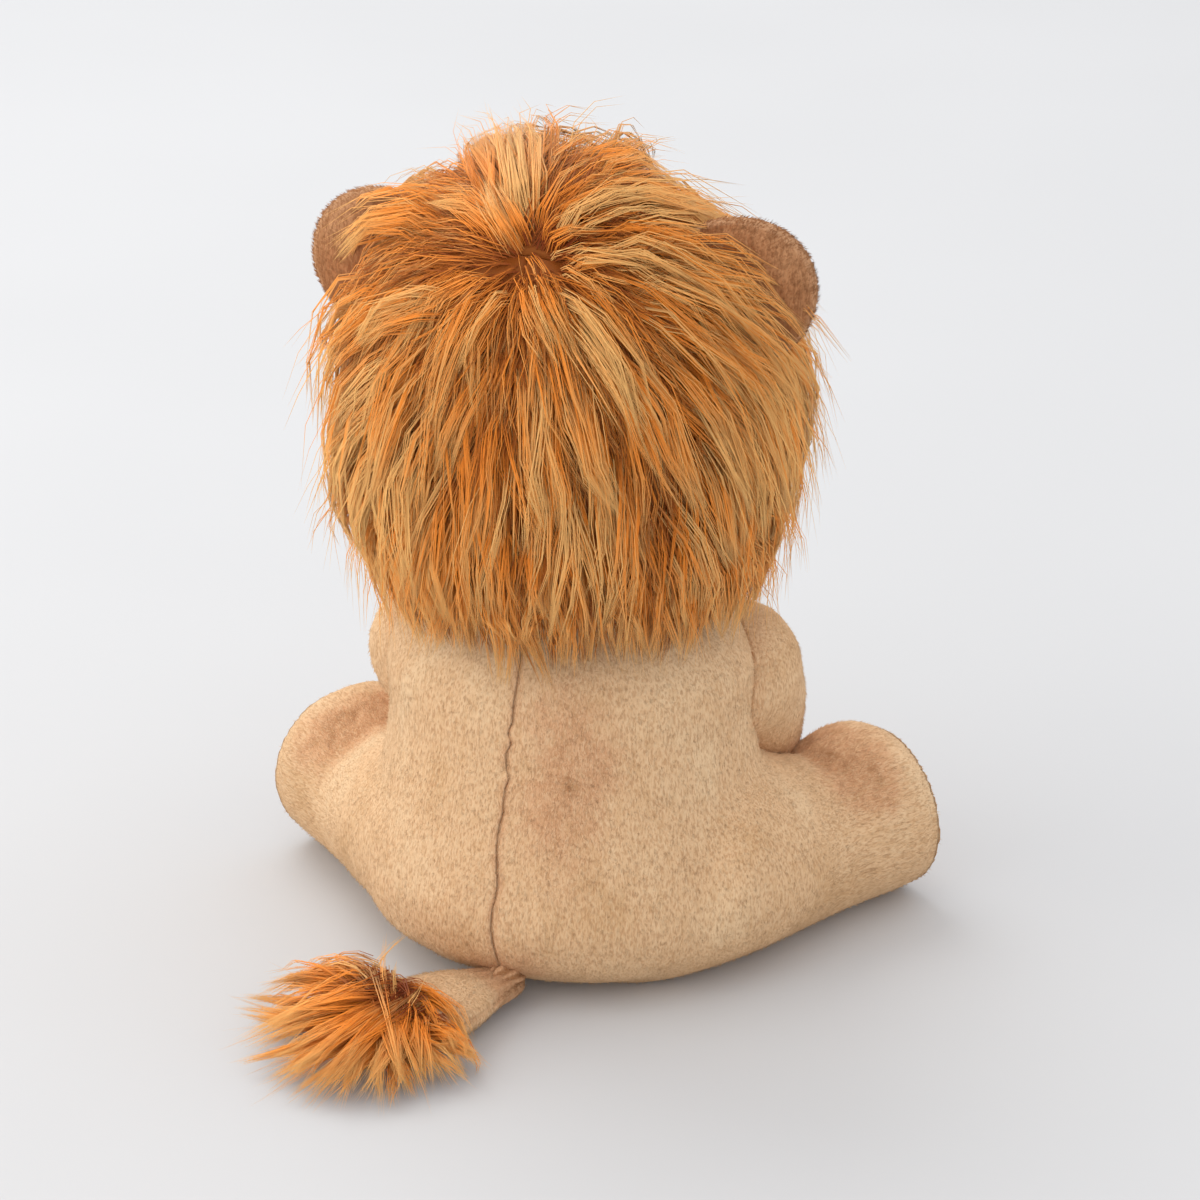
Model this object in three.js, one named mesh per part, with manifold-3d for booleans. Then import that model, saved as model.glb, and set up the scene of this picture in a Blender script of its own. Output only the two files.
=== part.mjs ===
import * as THREE from 'three';
import { mergeVertices } from 'three/addons/utils/BufferGeometryUtils.js';
import Module from 'manifold-3d';

// A seated plush lion with a long-pile mane, in millimetres, +Z up, facing -Y.
// The origin is on the flat of the seat, under the middle of the torso.
// Each sewn skin is an open shell round its own stuffing, as the panels are on a real toy.

const wasm = await Module();
wasm.setup();

// Cloth and clearances
const clothThickness = 2.2;
const seamGap = 0.3;
const weldDistance = 0.001;
const cutOverrun = 60;

// Torso: a pear of oval rings
const torsoHeight = 148;
const torsoHalfWidth = 72;
const torsoHalfDepth = 63;
const torsoLean = 6;
const torsoRowShares = [
  // [height, half width, half depth, lean]
  [0.0, 0.6, 0.56, 0.0],
  [0.025, 0.78, 0.72, 0.1],
  [0.08, 0.94, 0.89, 0.3],
  [0.18, 1.0, 1.0, 0.5],
  [0.31, 0.97, 0.98, 0.5],
  [0.45, 0.9, 0.91, 0.4],
  [0.6, 0.86, 0.84, 0.2],
  [0.74, 0.86, 0.79, 0.1],
  [0.82, 0.77, 0.72, 0.0],
  [0.88, 0.65, 0.63, 0.0],
  [0.95, 0.53, 0.55, 0.0],
  [1.0, 0.42, 0.46, 0.0],
];
const torsoSides = 20;
const backSeamOffset = 10.5;
const backSeamTiltDegrees = 2;
const bellyHalfWidth = 27;
const bellyBackEdge = 28;

// Bean pouch that weights the seat
const pouchHalfWidth = 44;
const pouchHalfDepth = 38;
const pouchHalfHeight = 17;
const pouchCentreHeight = 12;

// Legs: from the hip, forwards and outwards, to a foot that swells and ends in a flat sole
const hipOffset = 40;
const hipShift = 5;
const hipBack = 11;
const hipRadius = 37;
const thighDistance = 30;
const thighRadius = 34;
const ankleDistance = 54;
const ankleRadius = 29.5;
const footDistance = 73;
const footRadius = 31;
const leftSplayDegrees = 46;
const rightSplayDegrees = 50;
const floorPress = 0.5;
const soleInset = 17;

// Arms: from a ball at the shoulder, down and forwards, to a paw by the floor
const shoulderOffset = 51;
const shoulderForward = 20;
const shoulderDrop = 53;
const shoulderHeight = torsoHeight - shoulderDrop;
const shoulderRadius = 25;
const elbowOffset = 51;
const elbowForward = 45;
const elbowHeight = 68;
const elbowRadius = 23;
const pawOffset = 42;
const pawForward = 76;
const pawHeight = 27;
const pawRadius = 22;
const armOpeningRadius = 15;
const armReliefDegrees = [0, 30];
const armClearance = 1.4;
const socketClearance = 1;

// Head: an egg of stuffing that sits on the neck seam. Its parts are placed from its centre.
const headTurnDegrees = -3;
const headShift = 2.5;
const headRise = 52;
const headCentreHeight = torsoHeight + headRise;
const headForward = 6;
const headHalfWidth = 62;
const headHalfDepth = 58;
const headHalfHeight = 60;
const facePanelBackEdge = 14;
const faceOpeningDrop = 5;
const faceOpeningHalfWidth = 50;
const faceOpeningHalfHeight = 47;
const faceOpeningHeight = headCentreHeight - faceOpeningDrop;
const faceOpeningBackEdge = 16;

// Mane: the outer shape of the brushed fur
const maneHemDrop = 74;
const maneHemHeight = headCentreHeight - maneHemDrop;
const crownSeamRise = 46;
const crownSeamHeight = headCentreHeight + crownSeamRise;
const crownRise = 49;
const maneTopHeight = crownSeamHeight + crownRise;
const maneHalfWidth = 79.5;
const maneHalfDepth = 76;
const maneRowShares = [
  // [height, half width, half depth]
  [0.0, 0.76, 0.81],
  [0.07, 0.81, 0.87],
  [0.16, 0.9, 0.94],
  [0.27, 0.97, 0.99],
  [0.38, 1.0, 1.0],
  [0.5, 1.0, 1.0],
  [0.61, 0.96, 0.96],
  [0.71, 0.88, 0.88],
  [0.8, 0.77, 0.77],
  [0.88, 0.62, 0.62],
  [0.94, 0.46, 0.46],
  [0.98, 0.29, 0.29],
  [1.0, 0.12, 0.12],
];
const maneSides = 22;
const maneLocks = 22;
const maneFoldDepth = 5;
const maneNeckClearance = 4.6;
const maneNeckRise = 1;
const crownSeamTiltDegrees = 27;
const ruffBackEdge = 15;

// Ears: cupped rounds sewn in at the crown seam
const earDistance = 73;
const earRiseDegrees = 36;
const earHalfReach = 26;
const earHalfWidth = 24.5;
const earHalfThickness = 9;
const earLean = 3;
const earCupDepth = 13;
const earCupForward = 15;
const earCupMargin = 3.5;
const earLiningThickness = 1.8;

// Muzzle, chin and nose
const muzzleForward = 62;
const muzzleDrop = 14;
const muzzleHeight = headCentreHeight - muzzleDrop;
const muzzleLobeOffset = 11;
const muzzleLobe = { halfWidth: 16, halfDepth: 15, halfHeight: 13 };
const bridge = { halfWidth: 15, halfDepth: 18, halfHeight: 16 };
const bridgeDrop = 4;
const bridgeHeight = headCentreHeight - bridgeDrop;
const bridgeForward = 57;
const chin = { halfWidth: 13, halfDepth: 12, halfHeight: 9 };
const chinDrop = 29;
const chinHeight = headCentreHeight - chinDrop;
const chinForward = 58;
const nose = { halfWidth: 9, halfDepth: 5, halfHeight: 6 };
const noseDrop = 1;
const noseHeight = headCentreHeight - noseDrop;
const noseForward = 75;

// Safety eyes: a bead on a shank, held by a washer behind the face panel
const eyeOffset = 23;
const eyeRise = 11;
const eyeRadius = 5.5;
const eyeDome = 4;
const shankRadius = 1.6;
const shankLength = 9;
const washerRadius = 6.5;
const washerThickness = 1.5;
const washerSeat = 4.4;
const washerPocketClearance = 0.6;

// Tail: a flat sewn tube that lies on the floor and ends in a tuft
const tailPivotOffset = 11;
const tailPivotBack = 58;
const tailPivotHeight = 10;
const tailAngleDegrees = 41;
const tailRootRadius = 7;
const tailRootClearance = 0.6;
const stemStart = 12;
const stemStartRadius = 9;
const stemSwell = 24;
const stemRadius = 17;
const stemTaper = 37;
const stemEnd = 47;
const stemEndRadius = 13;
const tailFlatteningShare = 0.5;
const tuftDistance = 55;
const tuftHalfLength = 28;
const tuftHalfWidth = 30;
const tuftHeight = 26;

// Facets
const limbSides = 12;
const limbSteps = 5;
const domeShares = [0.4, 0.8];
const headFacets = [18, 12];
const ballFacets = [14, 8];
const smallFacets = [10, 6];

const quarterTurn = Math.PI / 2;
const fullTurn = Math.PI * 2;
const forwardAxis = new THREE.Vector3(0, 1, 0);

// Materials, one for each cloth or plastic
const bodyPlush = new THREE.MeshStandardMaterial({ color: 0xd8b58a, roughness: 0.95, metalness: 0 });
const bellyPlush = new THREE.MeshStandardMaterial({ color: 0xdcbc94, roughness: 0.95, metalness: 0 });
const solePlush = new THREE.MeshStandardMaterial({ color: 0xc79d70, roughness: 0.95, metalness: 0 });
const muzzlePlush = new THREE.MeshStandardMaterial({ color: 0xead6b4, roughness: 0.95, metalness: 0 });
const earPlush = new THREE.MeshStandardMaterial({ color: 0xb58a60, roughness: 0.95, metalness: 0 });
const maneFur = new THREE.MeshStandardMaterial({ color: 0xd98a35, roughness: 0.85, metalness: 0 });
const noseVelour = new THREE.MeshStandardMaterial({ color: 0x5b3724, roughness: 0.9, metalness: 0 });
const eyePlastic = new THREE.MeshStandardMaterial({ color: 0x20130c, roughness: 0.12, metalness: 0 });
const washerPlastic = new THREE.MeshStandardMaterial({ color: 0xe9e6df, roughness: 0.5, metalness: 0 });
const fibreFilling = new THREE.MeshStandardMaterial({ color: 0xf4f2ee, roughness: 1, metalness: 0 });
const pouchCotton = new THREE.MeshStandardMaterial({ color: 0xd9d3c6, roughness: 0.95, metalness: 0 });

// A closed skin over rings of points that all go the same way round.
function skinOver(rings) {
  const sides = rings[0].length;
  const positions = [];
  const triangles = [];
  const addPoint = (point) => positions.push(point.x, point.y, point.z) / 3 - 1;
  rings.forEach((ring) => ring.forEach(addPoint));
  const middleOf = (ring) =>
    ring.reduce((sum, point) => sum.add(point), new THREE.Vector3()).divideScalar(ring.length);
  const first = addPoint(middleOf(rings[0]));
  const last = addPoint(middleOf(rings[rings.length - 1]));
  const lastRing = (rings.length - 1) * sides;
  for (let side = 0; side < sides; side++) {
    const next = (side + 1) % sides;
    triangles.push(first, next, side);
    triangles.push(last, lastRing + side, lastRing + next);
    for (let ring = 0; ring < lastRing; ring += sides) {
      triangles.push(ring + side, ring + next, ring + sides + side);
      triangles.push(ring + next, ring + sides + next, ring + sides + side);
    }
  }
  const geometry = new THREE.BufferGeometry();
  geometry.setAttribute('position', new THREE.Float32BufferAttribute(positions, 3));
  geometry.setIndex(triangles);
  return geometry;
}

// Oval rings stacked from a base height upwards. grow pushes the whole skin out, or in if negative.
// foldDepth draws every other side in, so that folds run from the bottom to the top.
function ovalStack({ base, height, halfWidth, halfDepth, lean = 0, rowShares, sides, foldDepth = 0 }, grow = 0) {
  const rings = rowShares.map(([heightShare, widthShare, depthShare, leanShare = 0]) => {
    const z = base - grow + heightShare * (height + grow + grow);
    const ring = [];
    for (let side = 0; side < sides; side++) {
      const angle = (side / sides) * fullTurn;
      const drawnIn = side % 2 === 1 ? foldDepth : 0;
      const x = Math.cos(angle) * ((halfWidth - drawnIn) * widthShare + grow);
      const y = Math.sin(angle) * ((halfDepth - drawnIn) * depthShare + grow) + lean * leanShare;
      ring.push(new THREE.Vector3(x, y, z));
    }
    return ring;
  });
  return skinOver(rings);
}

// A round limb along a curve through the stations, swelling and tapering, with domed ends.
function limb(stations, grow = 0) {
  const curve = new THREE.CatmullRomCurve3(stations.map((station) => station.at));
  const { tangents, normals, binormals } = curve.computeFrenetFrames(limbSteps, false);
  const radiusAt = (t) => {
    const place = t * (stations.length - 1);
    const index = Math.min(Math.floor(place), stations.length - 2);
    const blend = THREE.MathUtils.smoothstep(place - index, 0, 1);
    return THREE.MathUtils.lerp(stations[index].radius, stations[index + 1].radius, blend) + grow;
  };
  const ringAt = (step, offset, radius) => {
    const centre = curve.getPoint(step / limbSteps).addScaledVector(tangents[step], offset);
    const ring = [];
    for (let side = 0; side < limbSides; side++) {
      const angle = (side / limbSides) * fullTurn;
      const point = centre.clone().addScaledVector(normals[step], Math.cos(angle) * radius);
      ring.push(point.addScaledVector(binormals[step], Math.sin(angle) * radius));
    }
    return ring;
  };
  const domeRings = (step, direction) => {
    const radius = radiusAt(step / limbSteps);
    return domeShares.map((share) => {
      const angle = share * quarterTurn;
      return ringAt(step, direction * Math.sin(angle) * radius, Math.cos(angle) * radius);
    });
  };
  const rings = domeRings(0, -1).reverse();
  for (let step = 0; step <= limbSteps; step++) rings.push(ringAt(step, 0, radiusAt(step / limbSteps)));
  rings.push(...domeRings(limbSteps, 1));
  return skinOver(rings);
}

// An egg about a centre, turned by a matrix of its own where one is given.
function egg({ centre, halfWidth, halfDepth, halfHeight, turn }, grow = 0, [sides, rings] = ballFacets) {
  const geometry = new THREE.SphereGeometry(1, sides, rings);
  geometry.rotateX(quarterTurn);
  geometry.scale(halfWidth + grow, halfDepth + grow, halfHeight + grow);
  if (turn) geometry.applyMatrix4(turn);
  geometry.translate(centre.x, centre.y, centre.z);
  return geometry;
}

// The even-sided egg of one radius.
const ball = (centre, radius) => egg({ centre, halfWidth: radius, halfDepth: radius, halfHeight: radius });

// A block between two corners.
function block(low, high) {
  const geometry = new THREE.BoxGeometry(high.x - low.x, high.y - low.y, high.z - low.z);
  geometry.translate((low.x + high.x) / 2, (low.y + high.y) / 2, (low.z + high.z) / 2);
  return geometry;
}

// A round bar from a start point along a direction.
function bar(start, direction, radius, length, sides = smallFacets[0]) {
  const geometry = new THREE.CylinderGeometry(radius, radius, length, sides);
  geometry.translate(0, length / 2, 0);
  geometry.applyQuaternion(new THREE.Quaternion().setFromUnitVectors(forwardAxis, direction));
  geometry.translate(start.x, start.y, start.z);
  return geometry;
}

// A geometry as a solid that can be cut and joined, moved first by a matrix where one is given.
function solidOf(geometry, move) {
  const bare = geometry.clone();
  bare.deleteAttribute('normal');
  bare.deleteAttribute('uv');
  if (move) bare.applyMatrix4(move);
  const merged = mergeVertices(bare, weldDistance);
  const corners = merged.index.array;
  const kept = [];
  for (let i = 0; i < corners.length; i += 3) {
    const [a, b, c] = [corners[i], corners[i + 1], corners[i + 2]];
    if (a !== b && b !== c && c !== a) kept.push(a, b, c);
  }
  return new wasm.Manifold(
    new wasm.Mesh({
      numProp: 3,
      vertProperties: new Float32Array(merged.attributes.position.array),
      triVerts: new Uint32Array(kept),
    }),
  );
}

// A cut or joined solid as a named mesh.
function meshOf(name, solid, material) {
  const { vertProperties, triVerts } = solid.getMesh();
  const geometry = new THREE.BufferGeometry();
  geometry.setAttribute('position', new THREE.BufferAttribute(vertProperties, 3));
  geometry.setIndex(new THREE.BufferAttribute(triVerts, 1));
  geometry.computeVertexNormals();
  const mesh = new THREE.Mesh(geometry, material);
  mesh.name = name;
  return mesh;
}

const mirrored = (point, side) => new THREE.Vector3(point.x * side, point.y, point.z);
const sidesOfBody = [
  { name: 'left', side: 1, splayDegrees: leftSplayDegrees },
  { name: 'right', side: -1, splayDegrees: rightSplayDegrees },
];
const farReach = torsoHalfWidth + maneTopHeight;
const farCorner = new THREE.Vector3(farReach, farReach, farReach);
const nearCorner = farCorner.clone().negate();
const above = (z) => solidOf(block(nearCorner.clone().setZ(z), farCorner));
const behind = (y) => solidOf(block(nearCorner.clone().setY(y), farCorner));
const inFrontOf = (y) => solidOf(block(nearCorner, farCorner.clone().setY(y)));
const besideMiddle = (side) => {
  const x = (side * seamGap) / 2;
  const low = side > 0 ? nearCorner.clone().setX(x) : nearCorner;
  const high = side > 0 ? farCorner : farCorner.clone().setX(x);
  return solidOf(block(low, high));
};

// Torso

const torsoStack = {
  base: 0,
  height: torsoHeight,
  halfWidth: torsoHalfWidth,
  halfDepth: torsoHalfDepth,
  lean: torsoLean,
  rowShares: torsoRowShares,
  sides: torsoSides,
};
const torsoForm = (grow = 0, move) => solidOf(ovalStack(torsoStack, grow), move);
const shoulderCentre = new THREE.Vector3(shoulderOffset, -shoulderForward, shoulderHeight);
const shoulderBall = (side, clearance, move) =>
  solidOf(ball(mirrored(shoulderCentre, side), shoulderRadius + clearance), move);
const tailPivot = new THREE.Vector3(tailPivotOffset, tailPivotBack, tailPivotHeight);

// One side of the centre back seam, which wanders off the middle and leans.
function besideBackSeam(side) {
  const geometry = new THREE.BoxGeometry(farReach, farReach, farReach + farReach);
  geometry.translate((side * (farReach + seamGap)) / 2, 0, 0);
  geometry.rotateY(-THREE.MathUtils.degToRad(backSeamTiltDegrees));
  geometry.translate(backSeamOffset, 0, torsoHeight / 2);
  return solidOf(geometry);
}

function torsoPieces() {
  const cutAway = shoulderBall(1, socketClearance)
    .add(shoulderBall(-1, socketClearance))
    .add(solidOf(ball(tailPivot, tailRootRadius + tailRootClearance)));
  const skin = torsoForm().subtract(torsoForm(-clothThickness)).subtract(cutAway);
  const bellyBlock = (grow) => {
    const low = nearCorner.clone().setX(-bellyHalfWidth - grow);
    const high = farCorner.clone().setX(bellyHalfWidth + grow).setY(bellyBackEdge + grow);
    return solidOf(block(low, high));
  };
  const backSkin = skin.subtract(bellyBlock(seamGap));
  const inside = torsoForm(-clothThickness - seamGap).subtract(cutAway);
  const pouch = (grow) => {
    const centre = new THREE.Vector3(0, 0, pouchCentreHeight);
    const size = { halfWidth: pouchHalfWidth, halfDepth: pouchHalfDepth, halfHeight: pouchHalfHeight };
    return solidOf(egg({ centre, ...size }, grow, smallFacets));
  };
  return [
    meshOf('belly_panel', skin.intersect(bellyBlock(0)), bellyPlush),
    meshOf('back_panel_left', backSkin.intersect(besideBackSeam(1)), bodyPlush),
    meshOf('back_panel_right', backSkin.intersect(besideBackSeam(-1)), bodyPlush),
    meshOf('torso_filling', inside.subtract(pouch(seamGap)), fibreFilling),
    meshOf('seat_bean_pouch', inside.intersect(pouch(0)), pouchCotton),
  ];
}

// Legs

function legRoute({ side, splayDegrees }) {
  const splay = THREE.MathUtils.degToRad(splayDegrees);
  const outward = new THREE.Vector3(Math.cos(splay) * side, -Math.sin(splay), 0);
  const hip = new THREE.Vector3(hipOffset * side - hipShift, hipBack, 0);
  const station = (distance, radius) => {
    return { at: hip.clone().addScaledVector(outward, distance).setZ(radius - floorPress), radius };
  };
  const foot = station(footDistance, footRadius);
  const thigh = station(thighDistance, thighRadius);
  const ankle = station(ankleDistance, ankleRadius);
  return { outward, stations: [station(0, hipRadius), thigh, ankle, foot], foot: foot.at };
}

const legForm = (sideOfBody, grow = 0, move) => solidOf(limb(legRoute(sideOfBody).stations, grow), move);

function legPieces(sideOfBody) {
  const { name } = sideOfBody;
  const { outward, foot } = legRoute(sideOfBody);
  const beyondSole = (gap) => {
    const start = foot.clone().addScaledVector(outward, soleInset + gap);
    return solidOf(bar(start, outward, cutOverrun, cutOverrun));
  };
  const torso = torsoForm(seamGap);
  const outer = legForm(sideOfBody).intersect(above(0)).subtract(torso);
  const hollow = legForm(sideOfBody, -clothThickness).intersect(above(clothThickness));
  const stuffed = legForm(sideOfBody, -clothThickness - seamGap).intersect(above(clothThickness + seamGap));
  return [
    meshOf(`leg_skin_${name}`, outer.subtract(beyondSole(0)).subtract(hollow), bodyPlush),
    meshOf(`leg_filling_${name}`, stuffed.subtract(torso).subtract(beyondSole(0)), fibreFilling),
    meshOf(`foot_sole_${name}`, outer.intersect(beyondSole(seamGap)), solePlush),
  ];
}

// Arms

function armPieces(sideOfBody) {
  const { name, side } = sideOfBody;
  const stations = [
    { at: mirrored(shoulderCentre, side), radius: shoulderRadius },
    { at: new THREE.Vector3(elbowOffset * side, -elbowForward, elbowHeight), radius: elbowRadius },
    { at: new THREE.Vector3(pawOffset * side, -pawForward, pawHeight), radius: pawRadius },
  ];
  // The body as the arm meets it on its way up, so that a raised arm clears it too.
  const body = armReliefDegrees.map((degrees) => {
    const pivot = mirrored(shoulderCentre, side);
    const move = new THREE.Matrix4().makeTranslation(pivot);
    move.multiply(new THREE.Matrix4().makeRotationX(THREE.MathUtils.degToRad(degrees)));
    move.multiply(new THREE.Matrix4().makeTranslation(pivot.negate()));
    const torso = torsoForm(armClearance, move).subtract(shoulderBall(side, 0, move));
    return torso.add(legForm(sideOfBody, armClearance, move));
  });
  const inward = new THREE.Vector3(-side, 0, 0);
  const opening = solidOf(bar(stations[0].at, inward, armOpeningRadius, cutOverrun));
  const form = (grow) => solidOf(limb(stations, grow));
  const trimmed = (solid) => body.reduce((left, cutter) => left.subtract(cutter), solid);
  return [
    meshOf(`arm_skin_${name}`, trimmed(form(0).subtract(form(-clothThickness)).subtract(opening)), bodyPlush),
    meshOf(`arm_filling_${name}`, trimmed(form(-clothThickness - seamGap)), fibreFilling),
  ];
}

// Head, upright as it is sewn

const headEgg = {
  centre: new THREE.Vector3(0, -headForward, headCentreHeight),
  halfWidth: headHalfWidth,
  halfDepth: headHalfDepth,
  halfHeight: headHalfHeight,
};
const headForm = (grow) =>
  solidOf(egg(headEgg, grow, headFacets)).intersect(above(torsoHeight + seamGap - grow));

// The place of an eye on the face and the direction that it looks in.
function eyeSeat(side) {
  const x = eyeOffset * side;
  const z = eyeRise;
  const y = -headHalfDepth * Math.sqrt(1 - (x / headHalfWidth) ** 2 - (z / headHalfHeight) ** 2);
  const normal = new THREE.Vector3(x / headHalfWidth ** 2, y / headHalfDepth ** 2, z / headHalfHeight ** 2);
  return { at: new THREE.Vector3(x, y - headForward, headCentreHeight + z), normal: normal.normalize() };
}

// A bar along an eye's shank, between two depths measured outwards from the face.
function eyeBar(side, radius, from, to) {
  const { at, normal } = eyeSeat(side);
  return solidOf(bar(at.addScaledVector(normal, from), normal, radius, to - from));
}

function eyePieces({ name, side }) {
  const { at, normal } = eyeSeat(side);
  const turn = new THREE.Matrix4().makeRotationFromQuaternion(
    new THREE.Quaternion().setFromUnitVectors(forwardAxis, normal),
  );
  const domeSize = { halfWidth: eyeRadius, halfDepth: eyeDome, halfHeight: eyeRadius };
  const dome = solidOf(egg({ centre: at, ...domeSize, turn })).subtract(headForm(seamGap));
  const shank = eyeBar(side, shankRadius, -shankLength, eyeDome / 2);
  const washer = eyeBar(side, washerRadius, -washerSeat - washerThickness, -washerSeat);
  const washerHole = eyeBar(side, shankRadius + seamGap, -cutOverrun, 0);
  return [
    meshOf(`eye_${name}`, dome.add(shank), eyePlastic),
    meshOf(`eye_washer_${name}`, washer.subtract(washerHole), washerPlastic),
  ];
}

function facePieces() {
  let panel = headForm(0).subtract(headForm(-clothThickness)).subtract(behind(-facePanelBackEdge));
  let filling = headForm(0).intersect(behind(-facePanelBackEdge + seamGap));
  filling = filling.add(headForm(-clothThickness - seamGap));
  for (const { side } of sidesOfBody) {
    panel = panel.subtract(eyeBar(side, shankRadius + seamGap, -cutOverrun, cutOverrun));
    const pocketDepth = shankLength + washerPocketClearance;
    filling = filling.subtract(eyeBar(side, washerRadius + washerPocketClearance, -pocketDepth, cutOverrun));
  }
  return [meshOf('face_panel', panel, bodyPlush), meshOf('head_filling', filling, fibreFilling)];
}

function muzzlePieces() {
  const smallEgg = (centre, size, grow = 0) => solidOf(egg({ centre, ...size }, grow, smallFacets));
  const muzzleForm = (grow) => {
    const lobe = (side) =>
      smallEgg(new THREE.Vector3(muzzleLobeOffset * side, -muzzleForward, muzzleHeight), muzzleLobe, grow);
    const between = smallEgg(new THREE.Vector3(0, -bridgeForward, bridgeHeight), bridge, grow);
    return lobe(1).add(lobe(-1)).add(between);
  };
  const headAndGap = headForm(seamGap);
  const chinEgg = smallEgg(new THREE.Vector3(0, -chinForward, chinHeight), chin);
  const noseEgg = smallEgg(new THREE.Vector3(0, -noseForward, noseHeight), nose);
  return [
    meshOf('muzzle', muzzleForm(0).subtract(headAndGap), muzzlePlush),
    meshOf('chin', chinEgg.subtract(headAndGap).subtract(muzzleForm(seamGap)), muzzlePlush),
    meshOf('nose', noseEgg.subtract(muzzleForm(seamGap)), noseVelour),
  ];
}

// An ear's egg and the hollow of its cup, tilted up along the line from the middle of the head.
function earForms(side) {
  const rise = THREE.MathUtils.degToRad(earRiseDegrees);
  const turn = new THREE.Matrix4().makeRotationY(-rise * side);
  const centre = new THREE.Vector3(
    Math.cos(rise) * earDistance * side,
    earLean,
    headCentreHeight + Math.sin(rise) * earDistance,
  );
  const earSize = { halfWidth: earHalfReach, halfDepth: earHalfThickness, halfHeight: earHalfWidth };
  const ear = { centre, ...earSize, turn };
  const hollow = {
    centre: centre.clone().setY(earLean - earCupForward),
    halfWidth: earHalfReach - earCupMargin,
    halfDepth: earCupDepth,
    halfHeight: earHalfWidth - earCupMargin,
    turn,
  };
  return {
    outer: (grow) => solidOf(egg(ear, grow)),
    cup: (grow) => solidOf(egg(hollow, grow)),
  };
}

function earPieces({ name, side }) {
  const { outer, cup } = earForms(side);
  const body = outer(0).subtract(cup(0)).subtract(headForm(seamGap));
  return [
    meshOf(`ear_back_${name}`, body.subtract(cup(earLiningThickness + seamGap)), earPlush),
    meshOf(`ear_lining_${name}`, body.intersect(cup(earLiningThickness)), muzzlePlush),
  ];
}

// Mane, cut to the panels that it is sewn from

const maneStack = {
  base: maneHemHeight,
  height: maneTopHeight - maneHemHeight,
  halfWidth: maneHalfWidth,
  halfDepth: maneHalfDepth,
  rowShares: maneRowShares,
  sides: maneLocks + maneLocks,
  foldDepth: maneFoldDepth,
};

// The room round the shoulders that the mane's inside keeps clear of as the head turns.
function neckRoom() {
  const outline = torsoRowShares.map(([heightShare, widthShare]) => {
    const radius = torsoHalfWidth * widthShare + maneNeckClearance;
    return new THREE.Vector2(radius, heightShare * torsoHeight + maneNeckRise);
  });
  outline.unshift(new THREE.Vector2(0, maneNeckRise));
  outline.push(new THREE.Vector2(0, torsoHeight + maneNeckRise));
  return solidOf(new THREE.LatheGeometry(outline, maneSides).rotateX(quarterTurn));
}

// The tube through which the face looks out.
function faceOpening() {
  const geometry = new THREE.CylinderGeometry(1, 1, farReach, maneSides);
  geometry.scale(faceOpeningHalfWidth, 1, faceOpeningHalfHeight);
  geometry.translate(0, -farReach / 2 - faceOpeningBackEdge, faceOpeningHeight);
  return solidOf(geometry);
}

// What lies above the seam that runs over the head from ear to ear.
function aboveCrownSeam(gap) {
  const geometry = new THREE.BoxGeometry(farReach, farReach, farReach);
  geometry.translate(0, 0, farReach / 2 + gap);
  geometry.rotateX(THREE.MathUtils.degToRad(crownSeamTiltDegrees));
  geometry.translate(0, 0, crownSeamHeight);
  return solidOf(geometry);
}

function manePieces() {
  let mane = solidOf(ovalStack(maneStack)).subtract(headForm(seamGap)).subtract(neckRoom());
  mane = mane.subtract(faceOpening());
  for (const { side } of sidesOfBody) mane = mane.subtract(earForms(side).outer(seamGap));
  const halfGap = seamGap / 2;
  const lower = mane.subtract(aboveCrownSeam(-halfGap));
  const back = lower.intersect(behind(-ruffBackEdge + halfGap));
  const ruff = lower.intersect(inFrontOf(-ruffBackEdge - halfGap));
  return [
    meshOf('mane_crown', mane.intersect(aboveCrownSeam(halfGap)), maneFur),
    ...sidesOfBody.flatMap(({ name, side }) => [
      meshOf(`mane_back_${name}`, back.intersect(besideMiddle(side)), maneFur),
      meshOf(`mane_ruff_${name}`, ruff.intersect(besideMiddle(side)), maneFur),
    ]),
  ];
}

// Tail, along +Y from its pivot

function tailPieces() {
  const pivot = new THREE.Vector3();
  const stations = [
    { at: new THREE.Vector3(0, stemStart, 0), radius: stemStartRadius },
    { at: new THREE.Vector3(0, stemSwell, 0), radius: stemRadius },
    { at: new THREE.Vector3(0, stemTaper, 0), radius: stemRadius },
    { at: new THREE.Vector3(0, stemEnd, 0), radius: stemEndRadius },
  ];
  const stem = (grow) => solidOf(limb(stations, grow).scale(1, 1, tailFlatteningShare));
  const tuft = egg({
    centre: new THREE.Vector3(0, tuftDistance, -tailPivotHeight),
    halfWidth: tuftHalfWidth,
    halfDepth: tuftHalfLength,
    halfHeight: tuftHeight,
  });
  const room = solidOf(ball(pivot, tailRootRadius + tailRootClearance));
  return [
    meshOf('tail_root', solidOf(ball(pivot, tailRootRadius)), bodyPlush),
    meshOf('tail_stem', stem(0).subtract(room), bodyPlush),
    meshOf('tail_tuft', solidOf(tuft).intersect(above(-tailPivotHeight)).subtract(stem(seamGap)), maneFur),
  ];
}

// Assembly

const lion = new THREE.Group();
lion.add(...torsoPieces());
for (const sideOfBody of sidesOfBody) lion.add(...legPieces(sideOfBody), ...armPieces(sideOfBody));

const head = new THREE.Group();
head.position.setX(headShift);
head.rotation.z = THREE.MathUtils.degToRad(headTurnDegrees);
head.add(...facePieces(), ...muzzlePieces(), ...manePieces());
for (const sideOfBody of sidesOfBody) head.add(...eyePieces(sideOfBody), ...earPieces(sideOfBody));
lion.add(head);

const tail = new THREE.Group();
tail.position.copy(tailPivot);
tail.rotation.z = -THREE.MathUtils.degToRad(tailAngleDegrees);
tail.add(...tailPieces());
lion.add(tail);

export default lion;
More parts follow.
